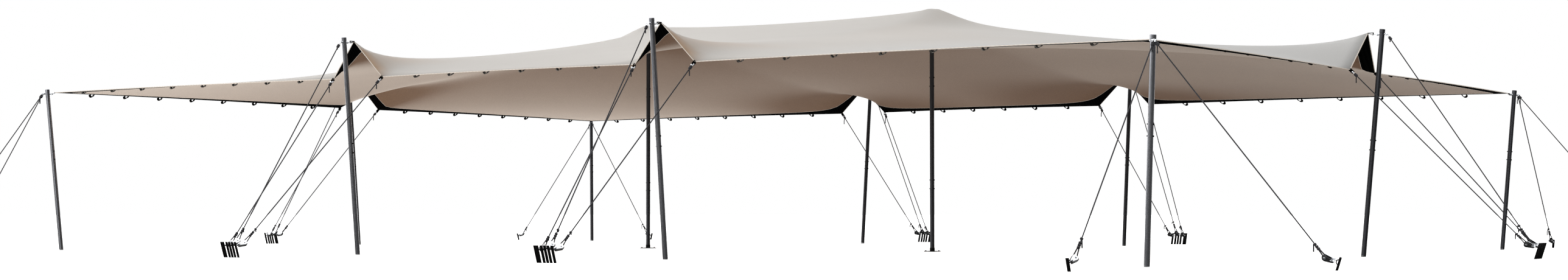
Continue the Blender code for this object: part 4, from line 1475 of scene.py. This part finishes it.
def swept(name, paths, radius):
    """Tubes along lists of points as one mesh, with a UV map in turns and metres and closed ends."""
    points, faces, uvs = [], [], []
    for path in paths:
        base = len(points)
        way = (path[1] - path[0]).normalized()
        across = way.orthogonal().normalized()
        travelled = 0.0
        for index, here in enumerate(path):
            before, after = path[max(index - 1, 0)], path[min(index + 1, len(path) - 1)]
            new_way = (after - before).normalized()
            across = (across - across.dot(new_way) * new_way).normalized()
            other = new_way.cross(across)
            for side in range(ROPE_SIDES):
                angle = math.tau * side / ROPE_SIDES
                points.append(here + radius * (math.cos(angle) * across + math.sin(angle) * other))
            if index:
                low = travelled
                travelled += (here - before).length if index < len(path) - 1 else (here - path[index - 1]).length
                for side in range(ROPE_SIDES):
                    a = base + (index - 1) * ROPE_SIDES + side
                    b = base + (index - 1) * ROPE_SIDES + (side + 1) % ROPE_SIDES
                    faces.append((a, b, b + ROPE_SIDES, a + ROPE_SIDES))
                    u0, u1 = side / ROPE_SIDES, (side + 1) / ROPE_SIDES
                    uvs += [(u0, low), (u1, low), (u1, travelled), (u0, travelled)]
        last = base + (len(path) - 1) * ROPE_SIDES
        faces.append(tuple(range(base + ROPE_SIDES - 1, base - 1, -1)))
        faces.append(tuple(range(last, last + ROPE_SIDES)))
        uvs += [(0.5, 0.0)] * ROPE_SIDES + [(0.5, travelled)] * ROPE_SIDES
    mesh = bpy.data.meshes.new(name)
    mesh.from_pydata(points, [], faces)
    layer = mesh.uv_layers.new(name="rope")
    layer.data.foreach_set("uv", np.array(uvs, dtype=np.float32).ravel())
    rope = bpy.data.objects.new(name, mesh)
    bpy.context.scene.collection.objects.link(rope)
    return rope


def whipping(start, way, turns, wrap, rise):
    """Points of a coil wound round a line."""
    across = way.orthogonal().normalized()
    other = way.cross(across)
    steps = int(turns * 9)
    points = []
    for step in range(steps + 1):
        angle = math.tau * turns * step / steps
        out = math.cos(angle) * across + math.sin(angle) * other
        points.append(start + (rise * step / steps) * way + wrap * out)
    return points


def hanging_tail(start, length, lean):
    """A rope's end that hangs straight down, a little bent where it leaves the knot."""
    aside = Vector((lean.x, lean.y, 0.0))
    return [start + aside * min(1.0, 3 * share) - length * share * UP for share in (0.0, 0.15, 0.35, 0.7, 1.0)]


print("a rope is swept with", ROPE_SIDES, "sides")

# %% Hang every guy
KNOTS_UP = (-0.022, 0.002, 0.026, 0.070)
TURN_RADIUS = 0.011
HITCH_UP = 0.105
HALF_GAP = 0.0045
LONG_TAIL = 0.075
SHORT_TOP_TAIL = 0.035
SHORT_FOOT_TAIL = 0.040


def make_guy(name, foot_place, knot, order):
    """One guy with its turn at the shackle, its wound end, its doubled foot, its knots and its two tails."""
    sheave_middle = foot_place @ Vector((0.0, 0.0, SHEAVE_AT))
    pull = (knot - sheave_middle).normalized()
    side = (foot_place.to_3x3() @ Vector((0.0, 1.0, 0.0))).normalized()
    groove = SHEAVE_RADIUS - 0.001
    hitch = sheave_middle + (HITCH_UP + 0.02 * math.sin(2.1 * order)) * pull
    thick = 1.9 * ROPE_RADIUS
    lead = pull.orthogonal().normalized()
    line = [knot, hitch + 0.03 * pull, hitch + HALF_GAP * side]
    for step in range(9):
        angle = math.pi * step / 8
        line.append(sheave_middle + groove * (math.cos(angle) * side - math.sin(angle) * pull))
    line.append(hitch - HALF_GAP * side)
    turn = []
    for step in range(11):
        angle = math.tau * step / 10
        turn.append(knot + TURN_RADIUS * (math.cos(angle) * pull + math.sin(angle) * lead) - 0.003 * pull)
    top_wrap = whipping(knot - 0.008 * pull, -pull, 2.0, thick, 0.022)
    knots = [whipping(hitch + up * pull, pull, 1.5, 1.6 * ROPE_RADIUS, 0.013) for up in KNOTS_UP[: 3 + order % 2]]
    top_length = LONG_TAIL if name.startswith(("corner", "hem")) else SHORT_TOP_TAIL
    top_length += 0.015 * math.sin(1.7 * order)
    top_tail = hanging_tail(top_wrap[-1], top_length, 0.012 * side)
    foot_length = LONG_TAIL if name.startswith("corner") else SHORT_FOOT_TAIL
    foot_length += 0.012 * math.sin(2.9 * order)
    foot_tail = hanging_tail(knots[-1][-1], foot_length, 0.014 * side)
    guy = swept(f"{name}_rope", [line, turn, top_wrap, *knots, top_tail, foot_tail], ROPE_RADIUS)
    dress(guy, braided_rope, 60.0)
    hand_over(guy, "guy_rope", name)


all_knots = {guy: knot for guy, (ring, knot) in edge_knots.items()} | hem_knots
for order, (guy, foot_place) in enumerate(sorted(rope_starts.items())):
    make_guy(guy, foot_place, all_knots[guy], order)
print("guys:", len(all_knots))

# %% [markdown]
# ## The hem
# The hem is bound with cream tape over a cord, which makes a fine pale bead along the edge. It is swept along
# the sheet's own edge points, a little above the middle, so that from under the tent the black band hides it. A
# fine pale seam follows the band's inner edge on the underside, on the third grid line in from the edge.

# %% Bind the hem
BEAD_RADIUS = 0.0045
SEAM_RADIUS = 0.0020


def round_the_sheet(inset, rise):
    """The sheet's points in order, once round and closed, so many grid lines in from its edge."""
    low, high_x, high_y = inset, len(sheet_x) - 1 - inset, len(sheet_y) - 1 - inset
    ring = [(i, low) for i in range(low, high_x)] + [(high_x, j) for j in range(low, high_y)]
    ring += [(i, high_y) for i in range(high_x, low, -1)] + [(low, j) for j in range(high_y, low - 1, -1)]
    return [Vector((plan_x[i, j], plan_y[i, j], sheet_height[i, j] + rise)) for i, j in ring]


bead_path = round_the_sheet(0, 0.0015)
hem_bead = dress(swept("hem_bead", [bead_path], BEAD_RADIUS), cream_tape, 60.0)
hand_over(hem_bead, "canopy_fabric")
seam_path = round_the_sheet(2, -FABRIC_THICKNESS / 2)
print("band seam", round(HEM_X - abs(seam_path[0].x), 3), "m in from the edge")
band_seam = dress(swept("band_seam", [seam_path], SEAM_RADIUS), cream_tape, 60.0)
hand_over(band_seam, "canopy_fabric")
print("hem length:", round(sum((b - a).length for a, b in zip(bead_path, bead_path[1:])), 2), "m")

# %% Clear the workbench
for master in workbench:
    bpy.data.objects.remove(master, do_unlink=True)
